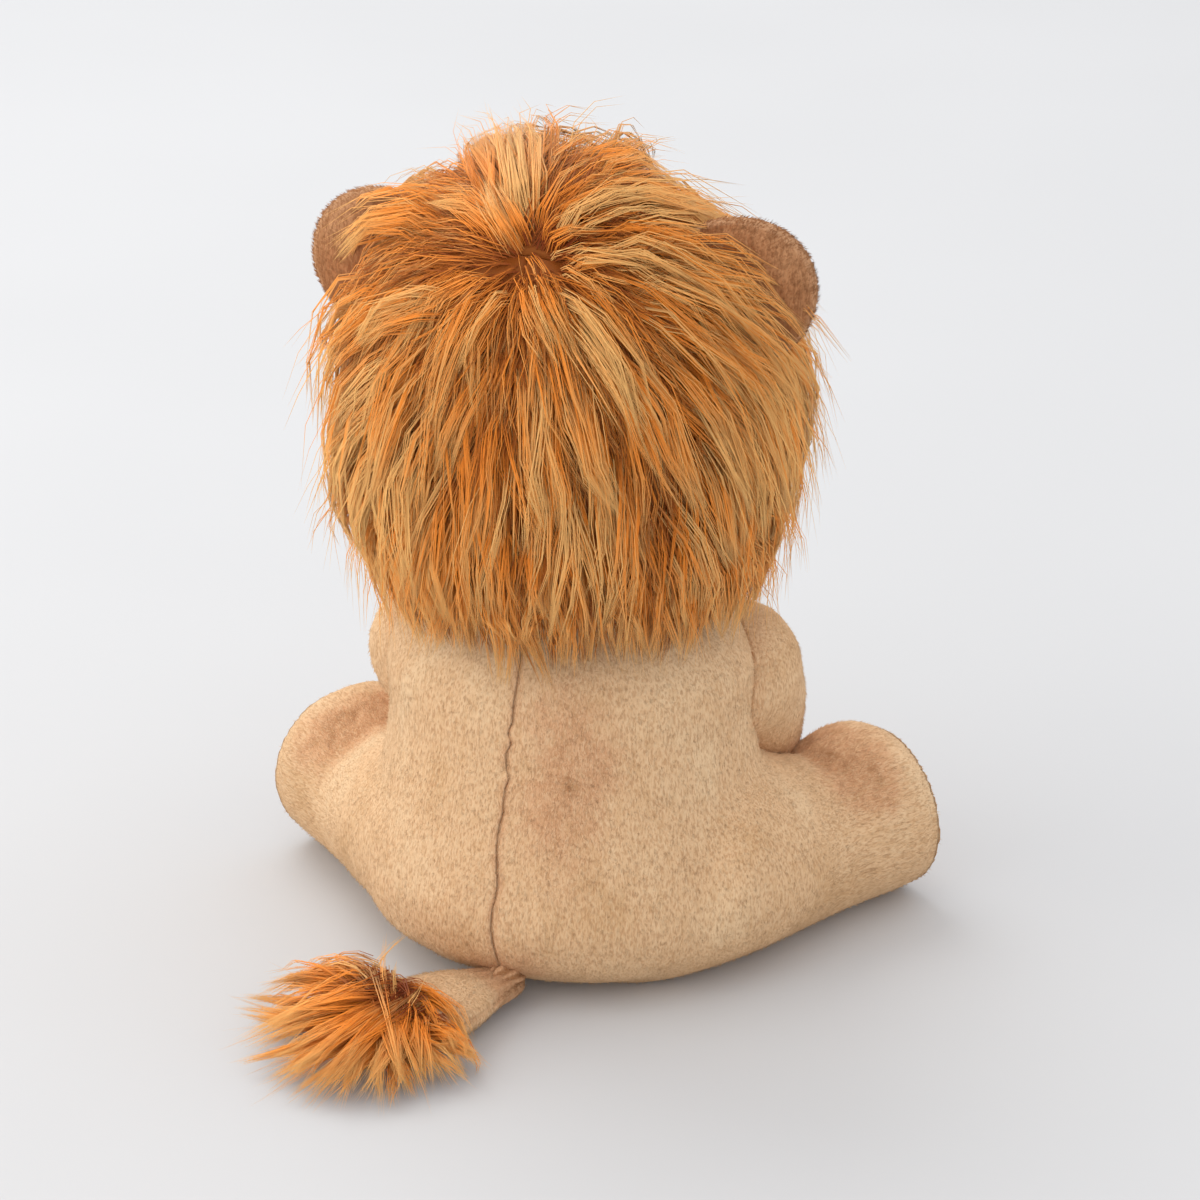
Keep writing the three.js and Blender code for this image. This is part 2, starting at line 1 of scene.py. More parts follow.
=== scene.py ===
"""A seated plush lion with a long-pile mane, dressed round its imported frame.

Sizes are in millimetres here and become metres when a mesh is made. The lion faces -Y, +Z is up,
+X is the lion's left, and the origin is on the flat of the seat.
"""

import logging
import math
from dataclasses import dataclass, field
from enum import Enum, IntEnum
from typing import Callable, Iterable, Sequence

import bmesh
import bpy
import numpy as np
from mathutils import Matrix, Vector
from mathutils.bvhtree import BVHTree


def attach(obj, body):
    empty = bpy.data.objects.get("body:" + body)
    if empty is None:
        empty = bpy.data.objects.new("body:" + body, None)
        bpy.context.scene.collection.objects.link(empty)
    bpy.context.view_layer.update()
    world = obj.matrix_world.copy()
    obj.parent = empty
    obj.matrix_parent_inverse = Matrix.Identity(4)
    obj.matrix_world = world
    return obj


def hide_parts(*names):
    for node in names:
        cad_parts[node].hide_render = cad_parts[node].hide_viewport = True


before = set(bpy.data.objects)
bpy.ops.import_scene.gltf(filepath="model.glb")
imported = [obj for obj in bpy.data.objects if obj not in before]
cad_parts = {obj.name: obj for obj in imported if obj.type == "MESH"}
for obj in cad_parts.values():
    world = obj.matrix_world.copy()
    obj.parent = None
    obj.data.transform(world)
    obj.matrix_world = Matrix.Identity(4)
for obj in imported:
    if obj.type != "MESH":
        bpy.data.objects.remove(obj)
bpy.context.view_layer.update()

log = logging.getLogger("plush_lion")

MM = 0.001
UP = np.array([0.0, 0.0, 1.0])
FULL_TURN = 2 * math.pi
TINY = 1e-9
FAR_OFF = 99.0

Array = np.ndarray
Mesh = bpy.types.Mesh
Shape = bmesh.types.BMesh
Piece = bpy.types.Object


class Seed(IntEnum):
    """Where each run of random draws starts."""

    MANE = 5
    BODY = 11
    TUFT = 19
    RUBBED = 31
    BACK_SEAM = 33
    BODY_NAP = 40
    ARM = 60
    ARM_NAP = 70
    MANE_WIDTH = 77
    TAIL_ROOT = 81
    TAIL = 83
    TAIL_NAP = 85
    TUFT_PILE = 91
    TUFT_WIDTH = 93
    EAR = 97
    EAR_NAP = 101
    FACE = 111
    FACE_NAP = 113
    MUZZLE = 121
    CHIN = 123
    FILLING = 131
    UNDERCOAT_ROOTS = 131
    UNDERCOAT = 132
    EAR_STRAND_ROOTS = 137
    EAR_STRANDS = 138


class Side(Enum):
    """The two sides of the lion, and which way along X each one is."""

    LEFT = ("left", 1)
    RIGHT = ("right", -1)

    @property
    def label(self) -> str:
        """The side's name in the names of pieces."""
        return self.value[0]

    @property
    def sign(self) -> int:
        """1 on the lion's left and -1 on its right."""
        return self.value[1]


# Numbers over arrays of points


def unit(vectors: Array) -> Array:
    """Vectors made one long, along the last axis."""
    return vectors / np.maximum(np.linalg.norm(vectors, axis=-1, keepdims=True), TINY)


def ramp(low: float, high: float, value: Array) -> Array:
    """A smooth rise from 0 at low to 1 at high. Low may be above high."""
    share = np.clip((value - low) / (high - low), 0, 1)
    return share * share * (3 - 2 * share)


def bell(value: Array, centre: float | Array, width: float) -> Array:
    """1 at the centre, falling away smoothly on both sides of it."""
    return np.exp(-(((value - centre) / width) ** 2))


def blob(points: Array, centre: Sequence[float], widths: Sequence[float]) -> Array:
    """1 at the centre, falling away smoothly all round it."""
    return np.exp(-np.sum(((points - centre) / widths) ** 2, axis=1))


def egg_level(points: Array, centre: Sequence[float], half: Sequence[float]) -> Array:
    """How far out points lie from the middle of an egg with these half sizes: 1 on its skin."""
    return np.linalg.norm((points - np.array(centre)) / np.array(half), axis=-1)


def turn_about_up(degrees: float) -> Array:
    """The matrix that turns rows of points about the upright axis."""
    angle = math.radians(degrees)
    cosine, sine = math.cos(angle), math.sin(angle)
    return np.array([[cosine, sine, 0.0], [-sine, cosine, 0.0], [0.0, 0.0, 1.0]])


def flatten_to(vectors: Array, normals: Array) -> Array:
    """The part of each vector that lies in the surface with that normal, made one long."""
    return unit(vectors - np.sum(vectors * normals, axis=-1, keepdims=True) * normals)


def flowing(table: Sequence[Sequence[float]], at: Array) -> Array:
    """Smooth values through the rows of a table.

    Args:
        table: Rows that start with a position, in rising order, and go on with values.
        at: The positions to read.

    Returns:
        One row of values for each position.
    """
    rows = np.array(table, float)
    place, value = rows[:, 0], rows[:, 1:]
    slope = np.gradient(value, place, axis=0)
    inside = np.clip(at, place[0], place[-1])
    index = np.clip(np.searchsorted(place, inside) - 1, 0, len(place) - 2)
    span = (place[index + 1] - place[index])[:, None]
    t = ((inside - place[index]) / span[:, 0])[:, None]
    start = (1 + 2 * t) * (1 - t) ** 2 * value[index] + t * (1 - t) ** 2 * span * slope[index]
    end = t * t * (3 - 2 * t) * value[index + 1] + t * t * (t - 1) * span * slope[index + 1]
    return start + end


class SoftNoise:
    """Smooth random values over space, the same on every run."""

    TABLE = 8192
    PRIMES = (73856093, 19349663, 83492791)

    def __init__(self, seed: int) -> None:
        """Args:
        seed: A number of the user's own for each use.
        """
        self.values = np.random.default_rng(seed).random(self.TABLE) * 2 - 1

    def _corner(self, cell: Array) -> Array:
        """The random value at each corner of the lattice."""
        x, y, z = (cell[..., axis] * prime for axis, prime in enumerate(self.PRIMES))
        return self.values[(x ^ y ^ z) & (self.TABLE - 1)]

    def __call__(self, points: Array, size: float | Sequence[float]) -> Array:
        """Read the noise.

        Args:
            points: Points in millimetres, in the last axis.
            size: The width of a bump, or its width along each axis.

        Returns:
            Values from -1 to 1, one for each point.
        """
        place = points / np.asarray(size, float)
        cell = np.floor(place).astype(np.int64)
        t = place - cell
        t = t * t * (3 - 2 * t)
        total = 0.0
        for corner in np.ndindex(2, 2, 2):
            weight = np.prod(np.where(np.array(corner) == 1, t, 1 - t), axis=-1)
            total = total + weight * self._corner(cell + np.array(corner))
        return total


# Meshes


def bmesh_to_mesh(shape: Shape, name: str) -> Mesh:
    """A new mesh, in metres, from a bmesh in millimetres. The bmesh is freed."""
    bmesh.ops.scale(shape, vec=Vector((MM, MM, MM)), verts=shape.verts)
    mesh = bpy.data.meshes.new(name)
    shape.to_mesh(mesh)
    shape.free()
    return mesh


def mesh_to_bmesh(mesh: Mesh) -> Shape:
    """A bmesh in millimetres from a mesh in metres, with its loose triangles joined up."""
    shape = bmesh.new()
    shape.from_mesh(mesh)
    bmesh.ops.scale(shape, vec=Vector((1 / MM, 1 / MM, 1 / MM)), verts=shape.verts)
    bmesh.ops.remove_doubles(shape, verts=shape.verts, dist=0.01)
    return shape


def loft(shape: Shape, rings: Sequence[Array]) -> list[bmesh.types.BMVert]:
    """Extrude a circle through rings of points and close both its ends.

    Args:
        shape: The bmesh that takes the skin.
        rings: Rings of points that go the same way round, with the same count.

    Returns:
        The vertices of the skin.
    """
    made = bmesh.ops.create_circle(shape, segments=len(rings[0]), radius=1.0)["verts"]
    ring = list(made)
    edges = list({edge for vert in ring for edge in vert.link_edges})
    for vert, point in zip(ring, rings[0]):
        vert.co = point
    bmesh.ops.contextual_create(shape, geom=edges)
    for points in rings[1:]:
        grown = bmesh.ops.extrude_edge_only(shape, edges=edges)["geom"]
        edges = [item for item in grown if isinstance(item, bmesh.types.BMEdge)]
        fresh = {item for item in grown if isinstance(item, bmesh.types.BMVert)}
        ring = [next(e.other_vert(v) for e in v.link_edges if e.other_vert(v) in fresh) for v in ring]
        edges = [edge for edge in edges if all(vert in fresh for vert in edge.verts)]
        for vert, point in zip(ring, points):
            vert.co = point
        made.extend(ring)
    bmesh.ops.contextual_create(shape, geom=edges)
    bmesh.ops.recalc_face_normals(shape, faces=shape.faces)
    return made


def limb_rings(spine: Array, radius: Array, sides: int) -> list[Array]:
    """Rings round a bent line.

    Args:
        spine: Points of the line.
        radius: The radius at each point, or a pair, sideways and upwards.
        sides: Points in a ring.

    Returns:
        The rings, one for each point of the line.
    """
    radius = np.broadcast_to(radius[:, None] if radius.ndim == 1 else radius, (len(spine), 2))
    tangent = unit(np.gradient(spine, axis=0))
    across = unit(np.cross(tangent, UP))
    rise = np.cross(across, tangent)
    angle = np.arange(sides) / sides * FULL_TURN
    return [
        centre + np.outer(np.cos(angle) * size[0], a) + np.outer(np.sin(angle) * size[1], r)
        for centre, size, a, r in zip(spine, radius, across, rise)
    ]


def cut_off(
    shape: Shape, place: Sequence[float], way: Sequence[float]
) -> list[bmesh.types.BMEdge]:
    """Cut a shape at a plane and drop what lies behind it.

    Args:
        shape: The shape, open at the cut afterwards.
        place: A point of the plane.
        way: The plane's front.

    Returns:
        The edges of the cut.
    """
    geometry = shape.verts[:] + shape.edges[:] + shape.faces[:]
    cut = bmesh.ops.bisect_plane(shape, geom=geometry, plane_co=place, plane_no=way, clear_inner=True)
    return [item for item in cut["geom_cut"] if isinstance(item, bmesh.types.BMEdge)]


def lay_flat(shape: Shape) -> None:
    """Turn a shape that was made round the upright axis to lie along Y."""
    bmesh.ops.rotate(shape, matrix=Matrix.Rotation(math.pi / 2, 3, "X"), verts=shape.verts)


def put_in_scene(name: str, data: bpy.types.ID) -> Piece:
    """A new object in the scene."""
    made = bpy.data.objects.new(name, data)
    bpy.context.scene.collection.objects.link(made)
    return made


def remeshed(shape: Shape, voxel: float, relax: int, name: str) -> Mesh:
    """One even skin over closed shells that may run into each other.

    Args:
        shape: The shells, in millimetres. It is freed.
        voxel: The size of the new faces.
        relax: How often the skin is smoothed.
        name: The mesh's name.

    Returns:
        A mesh in metres.
    """
    rough = put_in_scene(name, bmesh_to_mesh(shape, name + "_rough"))
    modifier = rough.modifiers.new("Remesh", "REMESH")
    modifier.mode = "VOXEL"
    modifier.voxel_size = voxel * MM
    evaluated = rough.evaluated_get(bpy.context.evaluated_depsgraph_get())
    mesh = bpy.data.meshes.new_from_object(evaluated)
    bpy.data.meshes.remove(rough.data)
    even = bmesh.new()
    even.from_mesh(mesh)
    for _ in range(relax):
        bmesh.ops.smooth_vert(
            even, verts=even.verts, factor=0.5, use_axis_x=True, use_axis_y=True, use_axis_z=True
        )
    even.to_mesh(mesh)
    even.free()
    mesh.name = name
    return mesh


def vectors_of(items: bpy.types.bpy_prop_collection, name: str, kind: type = float) -> Array:
    """One row of three numbers for each item, by name."""
    flat = np.empty(len(items) * 3, kind)
    items.foreach_get(name, flat)
    return flat.reshape(-1, 3)


def points_of(mesh: Mesh) -> Array:
    """The mesh's points in millimetres."""
    return vectors_of(mesh.vertices, "co") / MM


def set_points(mesh: Mesh, points: Array) -> None:
    """Move the mesh's points, given in millimetres."""
    mesh.vertices.foreach_set("co", (points * MM).ravel())
    mesh.update()


def normals_of(mesh: Mesh) -> Array:
    """The mesh's vertex normals."""
    return vectors_of(mesh.vertex_normals, "vector")


def part_of_mesh(mesh: Mesh, kept: Array, name: str) -> Mesh:
    """A copy of a mesh with only some of its faces.

    Args:
        mesh: The whole mesh, in metres.
        kept: Whether each face is kept.
        name: The new mesh's name.

    Returns:
        The new mesh.
    """
    shape = bmesh.new()
    shape.from_mesh(mesh)
    shape.faces.ensure_lookup_table()
    bmesh.ops.delete(shape, geom=[f for f, k in zip(shape.faces, kept) if not k], context="FACES")
    part = bpy.data.meshes.new(name)
    shape.to_mesh(part)
    shape.free()
    return part


def add_values(mesh: Mesh, name: str, values: Array | float) -> None:
    """Store one number for each vertex, or one for all, under a name that a material can read."""
    stored = np.full(len(mesh.vertices), values, np.float32)
    mesh.attributes.new(name, "FLOAT", "POINT").data.foreach_set("value", stored)


@dataclass
class Strands:
    """Many tapered hairs in one mesh.

    Attributes:
        spines: Points from root to tip, in millimetres, as hairs by points by 3.
        width: The half width along each hair, for all its points but the tip.
        outward: The way that the coat faces at each hair, or at each of its points.
        tone: A random tone for each hair, from 0 to 1.
        softness: How far the shading follows the coat and not the single hair.
    """

    spines: Array
    width: Array
    outward: Array
    tone: Array
    softness: float = 0.6

    def mesh(self, name: str) -> Mesh:
        """The hairs as closed three-sided spikes."""
        count, points, _ = self.spines.shape
        rings = points - 1
        outward = self.outward if self.outward.ndim == 3 else self.outward[:, None, :]
        outward = np.broadcast_to(outward, self.spines.shape)
        tangent = unit(np.gradient(self.spines, axis=1))
        across = unit(np.cross(tangent, outward))
        rise = np.cross(across, tangent)
        beside, above = np.array([[0.0, 1.0], [0.87, -0.5], [-0.87, -0.5]]).T[..., None]
        lift = beside * across[:, :rings, None] + above * rise[:, :rings, None]
        skin = self.spines[:, :rings, None] + lift * self.width[:, :, None, None]
        size = rings * 3 + 1
        verts = np.concatenate([skin.reshape(count, -1, 3), self.spines[:, -1:]], axis=1)
        own = np.concatenate([lift.reshape(count, -1, 3), tangent[:, -1:]], axis=1)
        faced = np.concatenate([np.repeat(outward[:, :rings], 3, axis=1), outward[:, -1:]], axis=1)
        shade = unit(own * (1 - self.softness) + faced * self.softness)
        last = (rings - 1) * 3
        around = ((0, 1), (1, 2), (2, 0))
        faces = [(0, 2, 1)] + [(last + a, last + b, size - 1) for a, b in around]
        for low in range(0, last, 3):
            faces += [(low + a, low + b, low + 3 + b, low + 3 + a) for a, b in around]
        pattern = np.concatenate([np.array(face) for face in faces])
        lengths = np.array([len(face) for face in faces])
        loops = (np.arange(count)[:, None] * size + pattern).ravel()
        totals = np.tile(lengths, count)
        starts = np.concatenate([[0], np.cumsum(totals)[:-1]])
        mesh = bpy.data.meshes.new(name)
        mesh.vertices.add(count * size)
        mesh.vertices.foreach_set("co", (verts * MM).ravel())
        mesh.loops.add(len(loops))
        mesh.loops.foreach_set("vertex_index", loops.astype(np.int32))
        mesh.polygons.add(len(totals))
        mesh.polygons.foreach_set("loop_start", starts.astype(np.int32))
        mesh.update(calc_edges=True)
        mesh.shade_smooth()
        along = np.concatenate([np.repeat(np.arange(rings) / rings, 3), [1.0]])
        add_values(mesh, "along", np.tile(along, count))
        add_values(mesh, "tone", np.repeat(self.tone, size))
        mesh.normals_split_custom_set_from_vertices(shade.reshape(-1, 3))
        return mesh


# Finishes


def linear(shade: str) -> tuple[float, float, float, float]:
    """A colour socket's value from a colour written as six hex digits.

    Args:
        shade: Such as "d6b286".

    Returns:
        Red, green, blue and alpha.
    """
    parts = [int(shade[i : i + 2], 16) / 255 for i in (0, 2, 4)]
    red, green, blue = (p / 12.92 if p <= 0.04045 else ((p + 0.055) / 1.055) ** 2.4 for p in parts)
    return red, green, blue, 1.0


Socket = bpy.types.NodeSocket


class Wiring:
    """Adds nodes to one tree and joins them."""

    def __init__(self, tree: bpy.types.NodeTree) -> None:
        """Args:
        tree: The tree that the nodes go into.
        """
        self.tree = tree

    def feed(self, node: bpy.types.Node, inputs: dict[str | int, object]) -> None:
        """Set a node's inputs by name, or join them to the sockets given for them."""
        for name, value in inputs.items():
            if isinstance(value, Socket):
                self.tree.links.new(value, node.inputs[name])
            else:
                node.inputs[name].default_value = value

    def node(
        self, kind: str, inputs: dict[str | int, object] | None = None, **settings: object
    ) -> bpy.types.Node:
        """Add a node.

        Args:
            kind: The node's type.
            inputs: Values or sockets for its inputs.
            settings: Values for its own properties.

        Returns:
            The node.
        """
        made = self.tree.nodes.new(kind)
        for name, value in settings.items():
            setattr(made, name, value)
        self.feed(made, inputs or {})
        return made

    def math(self, operation: str, first: Socket | float, second: Socket | float = 0.0) -> Socket:
        """The result of one sum."""
        return self.node("ShaderNodeMath", {0: first, 1: second}, operation=operation).outputs[0]

    def times(self, first: Socket | float, second: Socket | float) -> Socket:
        """One value times another."""
        return self.math("MULTIPLY", first, second)

    def mix(self, share: Socket | float, first: Socket | tuple, second: Socket | tuple) -> Socket:
        """One colour turning into another."""
        made = self.node("ShaderNodeMix", data_type="RGBA", blend_type="MIX", clamp_factor=True)
        for name, value in zip(("Factor", "A", "B"), (share, first, second)):
            kind = "VALUE" if name == "Factor" else "RGBA"
            socket = next(s for s in made.inputs if s.name == name and s.type == kind)
            if isinstance(value, Socket):
                self.tree.links.new(value, socket)
            else:
                socket.default_value = value
        return next(s for s in made.outputs if s.type == "RGBA")

    def span(self, value: Socket, low: float, high: float, start: float = 0.0, end: float = 1.0) -> Socket:
        """A value mapped smoothly from one range to another."""
        values = {"Value": value, "From Min": low, "From Max": high, "To Min": start, "To Max": end}
        return self.node("ShaderNodeMapRange", values, interpolation_type="SMOOTHSTEP").outputs["Result"]

    def noise(self, place: Socket, scale: float, detail: float, distortion: float | Socket = 0.0) -> Socket:
        """Noise from 0 to 1."""
        values = {"Vector": place, "Scale": scale, "Detail": detail, "Distortion": distortion}
        return self.node("ShaderNodeTexNoise", values).outputs[0]

    def place(self) -> Socket:
        """Object coordinates."""
        return self.node("ShaderNodeTexCoord").outputs["Object"]

    def stretched(self, place: Socket, size: tuple[float, float, float]) -> Socket:
        """Coordinates times a size along each axis."""
        return self.node("ShaderNodeMapping", {"Vector": place, "Scale": size}).outputs[0]

    def bump(self, height: Socket, strength: float, distance: float) -> Socket:
        """The normal of a surface with this height, at most so many millimetres high."""
        values = {"Strength": strength, "Distance": distance * MM, "Height": height}
        return self.node("ShaderNodeBump", values).outputs[0]

    def value_of(self, name: str) -> Socket:
        """A piece's own named value."""
        return self.node("ShaderNodeAttribute", attribute_name=name).outputs["Fac"]


class Group(Enum):
    """The effects that more than one finish uses."""

    CLOTH_MOTTLE = "Cloth mottle"
    HAIR_TONE = "Hair tone"


def shared_group(
    kind: Group,
    colours: tuple[str, ...],
    numbers: tuple[str, ...],
    beside: str,
    wire: Callable[[Wiring, dict[str, Socket]], tuple[Socket, Socket]],
) -> bpy.types.NodeTree:
    """A shader node group, made the first time that it is asked for.

    Args:
        kind: Which group.
        colours: The names of its colour inputs.
        numbers: The names of its number inputs.
        beside: The name of the number that it puts out beside its colour.
        wire: Takes the wiring and the inputs, and gives the colour and that number.

    Returns:
        The group.
    """
    found = bpy.data.node_groups.get(kind.value)
    if found:
        return found
    tree = bpy.data.node_groups.new(kind.value, "ShaderNodeTree")
    for names, way, socket_type in (
        (colours, "INPUT", "NodeSocketColor"),
        (numbers, "INPUT", "NodeSocketFloat"),
        (("Color",), "OUTPUT", "NodeSocketColor"),
        ((beside,), "OUTPUT", "NodeSocketFloat"),
    ):
        for name in names:
            tree.interface.new_socket(name, in_out=way, socket_type=socket_type)
    wiring = Wiring(tree)
    entry = wiring.node("NodeGroupInput")
    colour, number = wire(wiring, {name: entry.outputs[name] for name in colours + numbers})
    wiring.node("NodeGroupOutput", {"Color": colour, beside: number})
    return tree


STREAK_TURN = math.radians(48.0)
STREAK_STRETCH = (1.0, 1.0, 0.3)
STREAK_SCALE = 1450.0
CLUMP_SCALE = 430.0
PATCH_SCALE = 30.0
SEAM_SHADOW = linear("a87349")


def wire_cloth(wiring: Wiring, given: dict[str, Socket]) -> tuple[Socket, Socket]:
    """Short combed pile: fine streaks with painted shade in their gaps, soft patches, rubbed places with
    some painted shade, and the sunk line of a seam.

    Args:
        wiring: The group's wiring.
        given: Its inputs. Turned, from 0 to 1, turns the streaks from the way down the body to the way
            along a leg. Seam is how near the nearest seam is: 4 on it, and 0 from 4 millimetres away.

    Returns:
        The colour and the height.
    """
    place = wiring.place()
    split = wiring.node("ShaderNodeSeparateXYZ", {"Vector": place}).outputs
    beside = wiring.math("ABSOLUTE", split["X"])
    cosine, sine = math.cos(STREAK_TURN), math.sin(STREAK_TURN)
    outward = wiring.math("SUBTRACT", wiring.times(beside, cosine), wiring.times(split["Y"], sine))
    across = wiring.math("ADD", wiring.times(beside, sine), wiring.times(split["Y"], cosine))
    leg_place = wiring.node("ShaderNodeCombineXYZ", {"X": across, "Y": split["Z"], "Z": outward}).outputs[0]
    swirl = wiring.math("ADD", 0.25, wiring.times(given["Wear"], 2.4))
    turned = given["Turned"]
    sums = []
    for scale in (STREAK_SCALE, CLUMP_SCALE):
        ways = (wiring.stretched(way, STREAK_STRETCH) for way in (place, leg_place))
        body, leg = (wiring.noise(way, scale, 2.0, swirl) for way in ways)
        kept = wiring.times(body, wiring.math("SUBTRACT", 1.0, turned))
        sums.append(wiring.math("ADD", kept, wiring.times(leg, turned)))
    streaks, clumps = sums
    patches = wiring.noise(wiring.stretched(place, (1.0, 1.0, 0.75)), PATCH_SCALE, 3.0, 0.5)
    wear, streak, seam = given["Wear"], given["Streak"], given["Seam"]
    line = wiring.times(wiring.span(seam, 3.6, 3.97), wiring.span(clumps, 0.38, 0.6, 0.1, 0.9))
    colour = given["Base"]
    for share, shade in (
        (wiring.times(wiring.span(patches, 0.5, 0.75), 0.5), given["Shade"]),
        (wiring.times(wiring.span(patches, 0.5, 0.28), 0.5), given["Light"]),
        # Rubbed pile; the same value also carries painted shade round the tail's root and in the folds of
        # its gather.
        (wiring.span(wear, 0.0, 0.55, 0.0, 0.85), given["Rub"]),
        (wiring.span(wear, 0.5, 1.0), given["Deep"]),
        # Dark streaks: painted shade in the gaps of the pile, where the bump is low.
        (wiring.times(wiring.span(streaks, 0.5, 0.36), streak), given["Deep"]),
        (wiring.times(wiring.span(streaks, 0.5, 0.66), wiring.times(streak, 0.8)), given["Light"]),
        (wiring.times(wiring.span(clumps, 0.5, 0.34), wiring.times(streak, 0.6)), given["Shade"]),
        (line, SEAM_SHADOW),
    ):
        colour = wiring.mix(share, colour, shade)
    height = wiring.math("ADD", streaks, wiring.times(clumps, 0.8))
    height = wiring.math("SUBTRACT", height, wiring.span(seam, 3.2, 4.0, 0.0, 1.2))
    return colour, height


def cloth_mottle() -> bpy.types.NodeTree:
    """The group that colours short pile and gives its height."""
    colours = ("Base", "Shade", "Light", "Rub", "Deep")
    numbers = ("Wear", "Streak", "Turned", "Seam")
    return shared_group(Group.CLOTH_MOTTLE, colours, numbers, "Height", wire_cloth)


def wire_hair(wiring: Wiring, given: dict[str, Socket]) -> tuple[Socket, Socket]:
    """The colour along a hair, from roots darkened as painted shade to tips lightened as a painted
    highlight, lighter or darker from hair to hair.

    Args:
        wiring: The group's wiring.
        given: Its inputs.

    Returns:
        The colour and the roughness.
    """
    along, tone, spread = given["Along"], given["Tone"], given["Spread"]
    colour = wiring.mix(wiring.span(along, 0.1, 0.62), given["Root"], given["Middle"])
    colour = wiring.mix(wiring.span(along, 0.55, 1.1), colour, given["Tip"])
    colour = wiring.mix(wiring.times(wiring.span(tone, 0.45, 0.0), spread), colour, given["Root"])
    colour = wiring.mix(wiring.times(wiring.span(tone, 0.55, 1.0), spread), colour, given["Tip"])
    return colour, wiring.span(tone, 0.0, 1.0, 0.58, 0.38)


def hair_tone() -> bpy.types.NodeTree:
    """The group that colours long hairs and says how rough they are."""
    colours, numbers = ("Root", "Middle", "Tip"), ("Along", "Tone", "Spread")
    return shared_group(Group.HAIR_TONE, colours, numbers, "Roughness", wire_hair)


def shared_material(name: str, wire: Callable[[Wiring], dict[str, object]]) -> bpy.types.Material:
    """A material, made the first time that it is asked for.

    Args:
        name: Its name.
        wire: Takes its wiring and gives what goes into its shader's inputs.

    Returns:
        The material.
    """
    found = bpy.data.materials.get(name)
    if found:
        return found
    material = bpy.data.materials.new(name)
    material.use_nodes = True
    wiring = Wiring(material.node_tree)
    shader = next(n for n in material.node_tree.nodes if n.type == "BSDF_PRINCIPLED")
    wiring.feed(shader, wire(wiring))
    return material


@dataclass(frozen=True)
class PlushFinish:
    """Short-pile cloth.

    Attributes:
        name: The material's name.
        base: The pile's colour.
        shade: The colour where it lies away from the light.
        light: The colour where it lies towards the light.
        rub: The colour where the pile is disturbed, and of some painted shade round the tail's root.
        deep: The colour of the gaps in the pile, a painted shade, and of the pile where it is brushed up.
        streak: How strong the fine streaks are.
        sheen: How strong the soft rim of the pile is.
    """

    name: str
    base: str
    shade: str
    light: str
    rub: str
    deep: str
    streak: float = 0.4
    sheen: float = 0.08

    def mottled(self, wiring: Wiring) -> tuple[bpy.types.Node, dict[str, object]]:
        """The mottled cloth in a material, and the shader's inputs that cloth and nap share."""
        shades = ("base", "shade", "light", "rub", "deep")
        values = {name.capitalize(): linear(getattr(self, name)) for name in shades}
        values |= {name.capitalize(): wiring.value_of(name) for name in ("wear", "turned", "seam")}
        cloth = wiring.node("ShaderNodeGroup", {**values, "Streak": self.streak}, node_tree=cloth_mottle())
        return cloth, {
            "Specular IOR Level": 0.2,
            "Sheen Weight": self.sheen,
            "Sheen Roughness": 0.5,
            "Sheen Tint": linear(self.light),
        }

    def wire_cloth(self, wiring: Wiring) -> dict[str, object]:
        """What goes into the cloth's shader."""
        cloth, shared = self.mottled(wiring)
        normal = wiring.bump(cloth.outputs["Height"], strength=0.8, distance=0.55)
        return {"Base Color": cloth.outputs["Color"], "Normal": normal, "Roughness": 0.92, **shared}

    def wire_nap(self, wiring: Wiring) -> dict[str, object]:
        """What goes into the shader of the pile's own hairs, which follow the cloth under them."""
        cloth, shared = self.mottled(wiring)
        tone, along = wiring.value_of("tone"), wiring.value_of("along")
        darker = wiring.times(wiring.span(tone, 0.5, 0.0), 0.2)
        tips = wiring.times(wiring.span(along, 0.2, 1.0), wiring.span(tone, 0.3, 1.0, 0.0, 0.25))
        colour = wiring.mix(darker, cloth.outputs["Color"], linear(self.shade))
        colour = wiring.mix(tips, colour, linear(self.light))
        return {"Base Color": colour, "Roughness": 0.85, **shared}

    def material(self) -> bpy.types.Material:
        """The cloth's material."""
        return shared_material(f"{self.name}_finish", self.wire_cloth)

    def nap_material(self) -> bpy.types.Material:
        """The material of the pile's own hairs."""
        return shared_material(f"{self.name}_nap", self.wire_nap)


@dataclass(frozen=True)
class HairFinish:
    """Long-pile fur.

    Attributes:
        name: The material's name.
        root: The colour at the roots and of the darkest hairs, darker as painted shade deep in the coat.
        middle: The main colour.
        tip: The colour of the tips and of the lightest hairs: their own lighter colour and a painted
            highlight.
        spread: How much the hairs differ.
        gloss: The colour of the light that they throw back.
    """

    name: str
    root: str
    middle: str
    tip: str
    spread: float
    gloss: str = "ffc484"

    def wire(self, wiring: Wiring) -> dict[str, object]:
        """What goes into the shader."""
        values = {name.capitalize(): linear(getattr(self, name)) for name in ("root", "middle", "tip")}
        values |= {name.capitalize(): wiring.value_of(name) for name in ("along", "tone")}
        hair = wiring.node("ShaderNodeGroup", {**values, "Spread": self.spread}, node_tree=hair_tone())
        return {
            "Base Color": hair.outputs["Color"],
            "Roughness": hair.outputs["Roughness"],
            "Specular IOR Level": 0.7,
            "Specular Tint": linear(self.gloss),
            "Sheen Weight": 0.55,
            "Sheen Roughness": 0.35,
            "Sheen Tint": linear(self.gloss),
        }

    def material(self) -> bpy.types.Material:
        """The fur's material."""
        return shared_material(f"{self.name}_finish", self.wire)


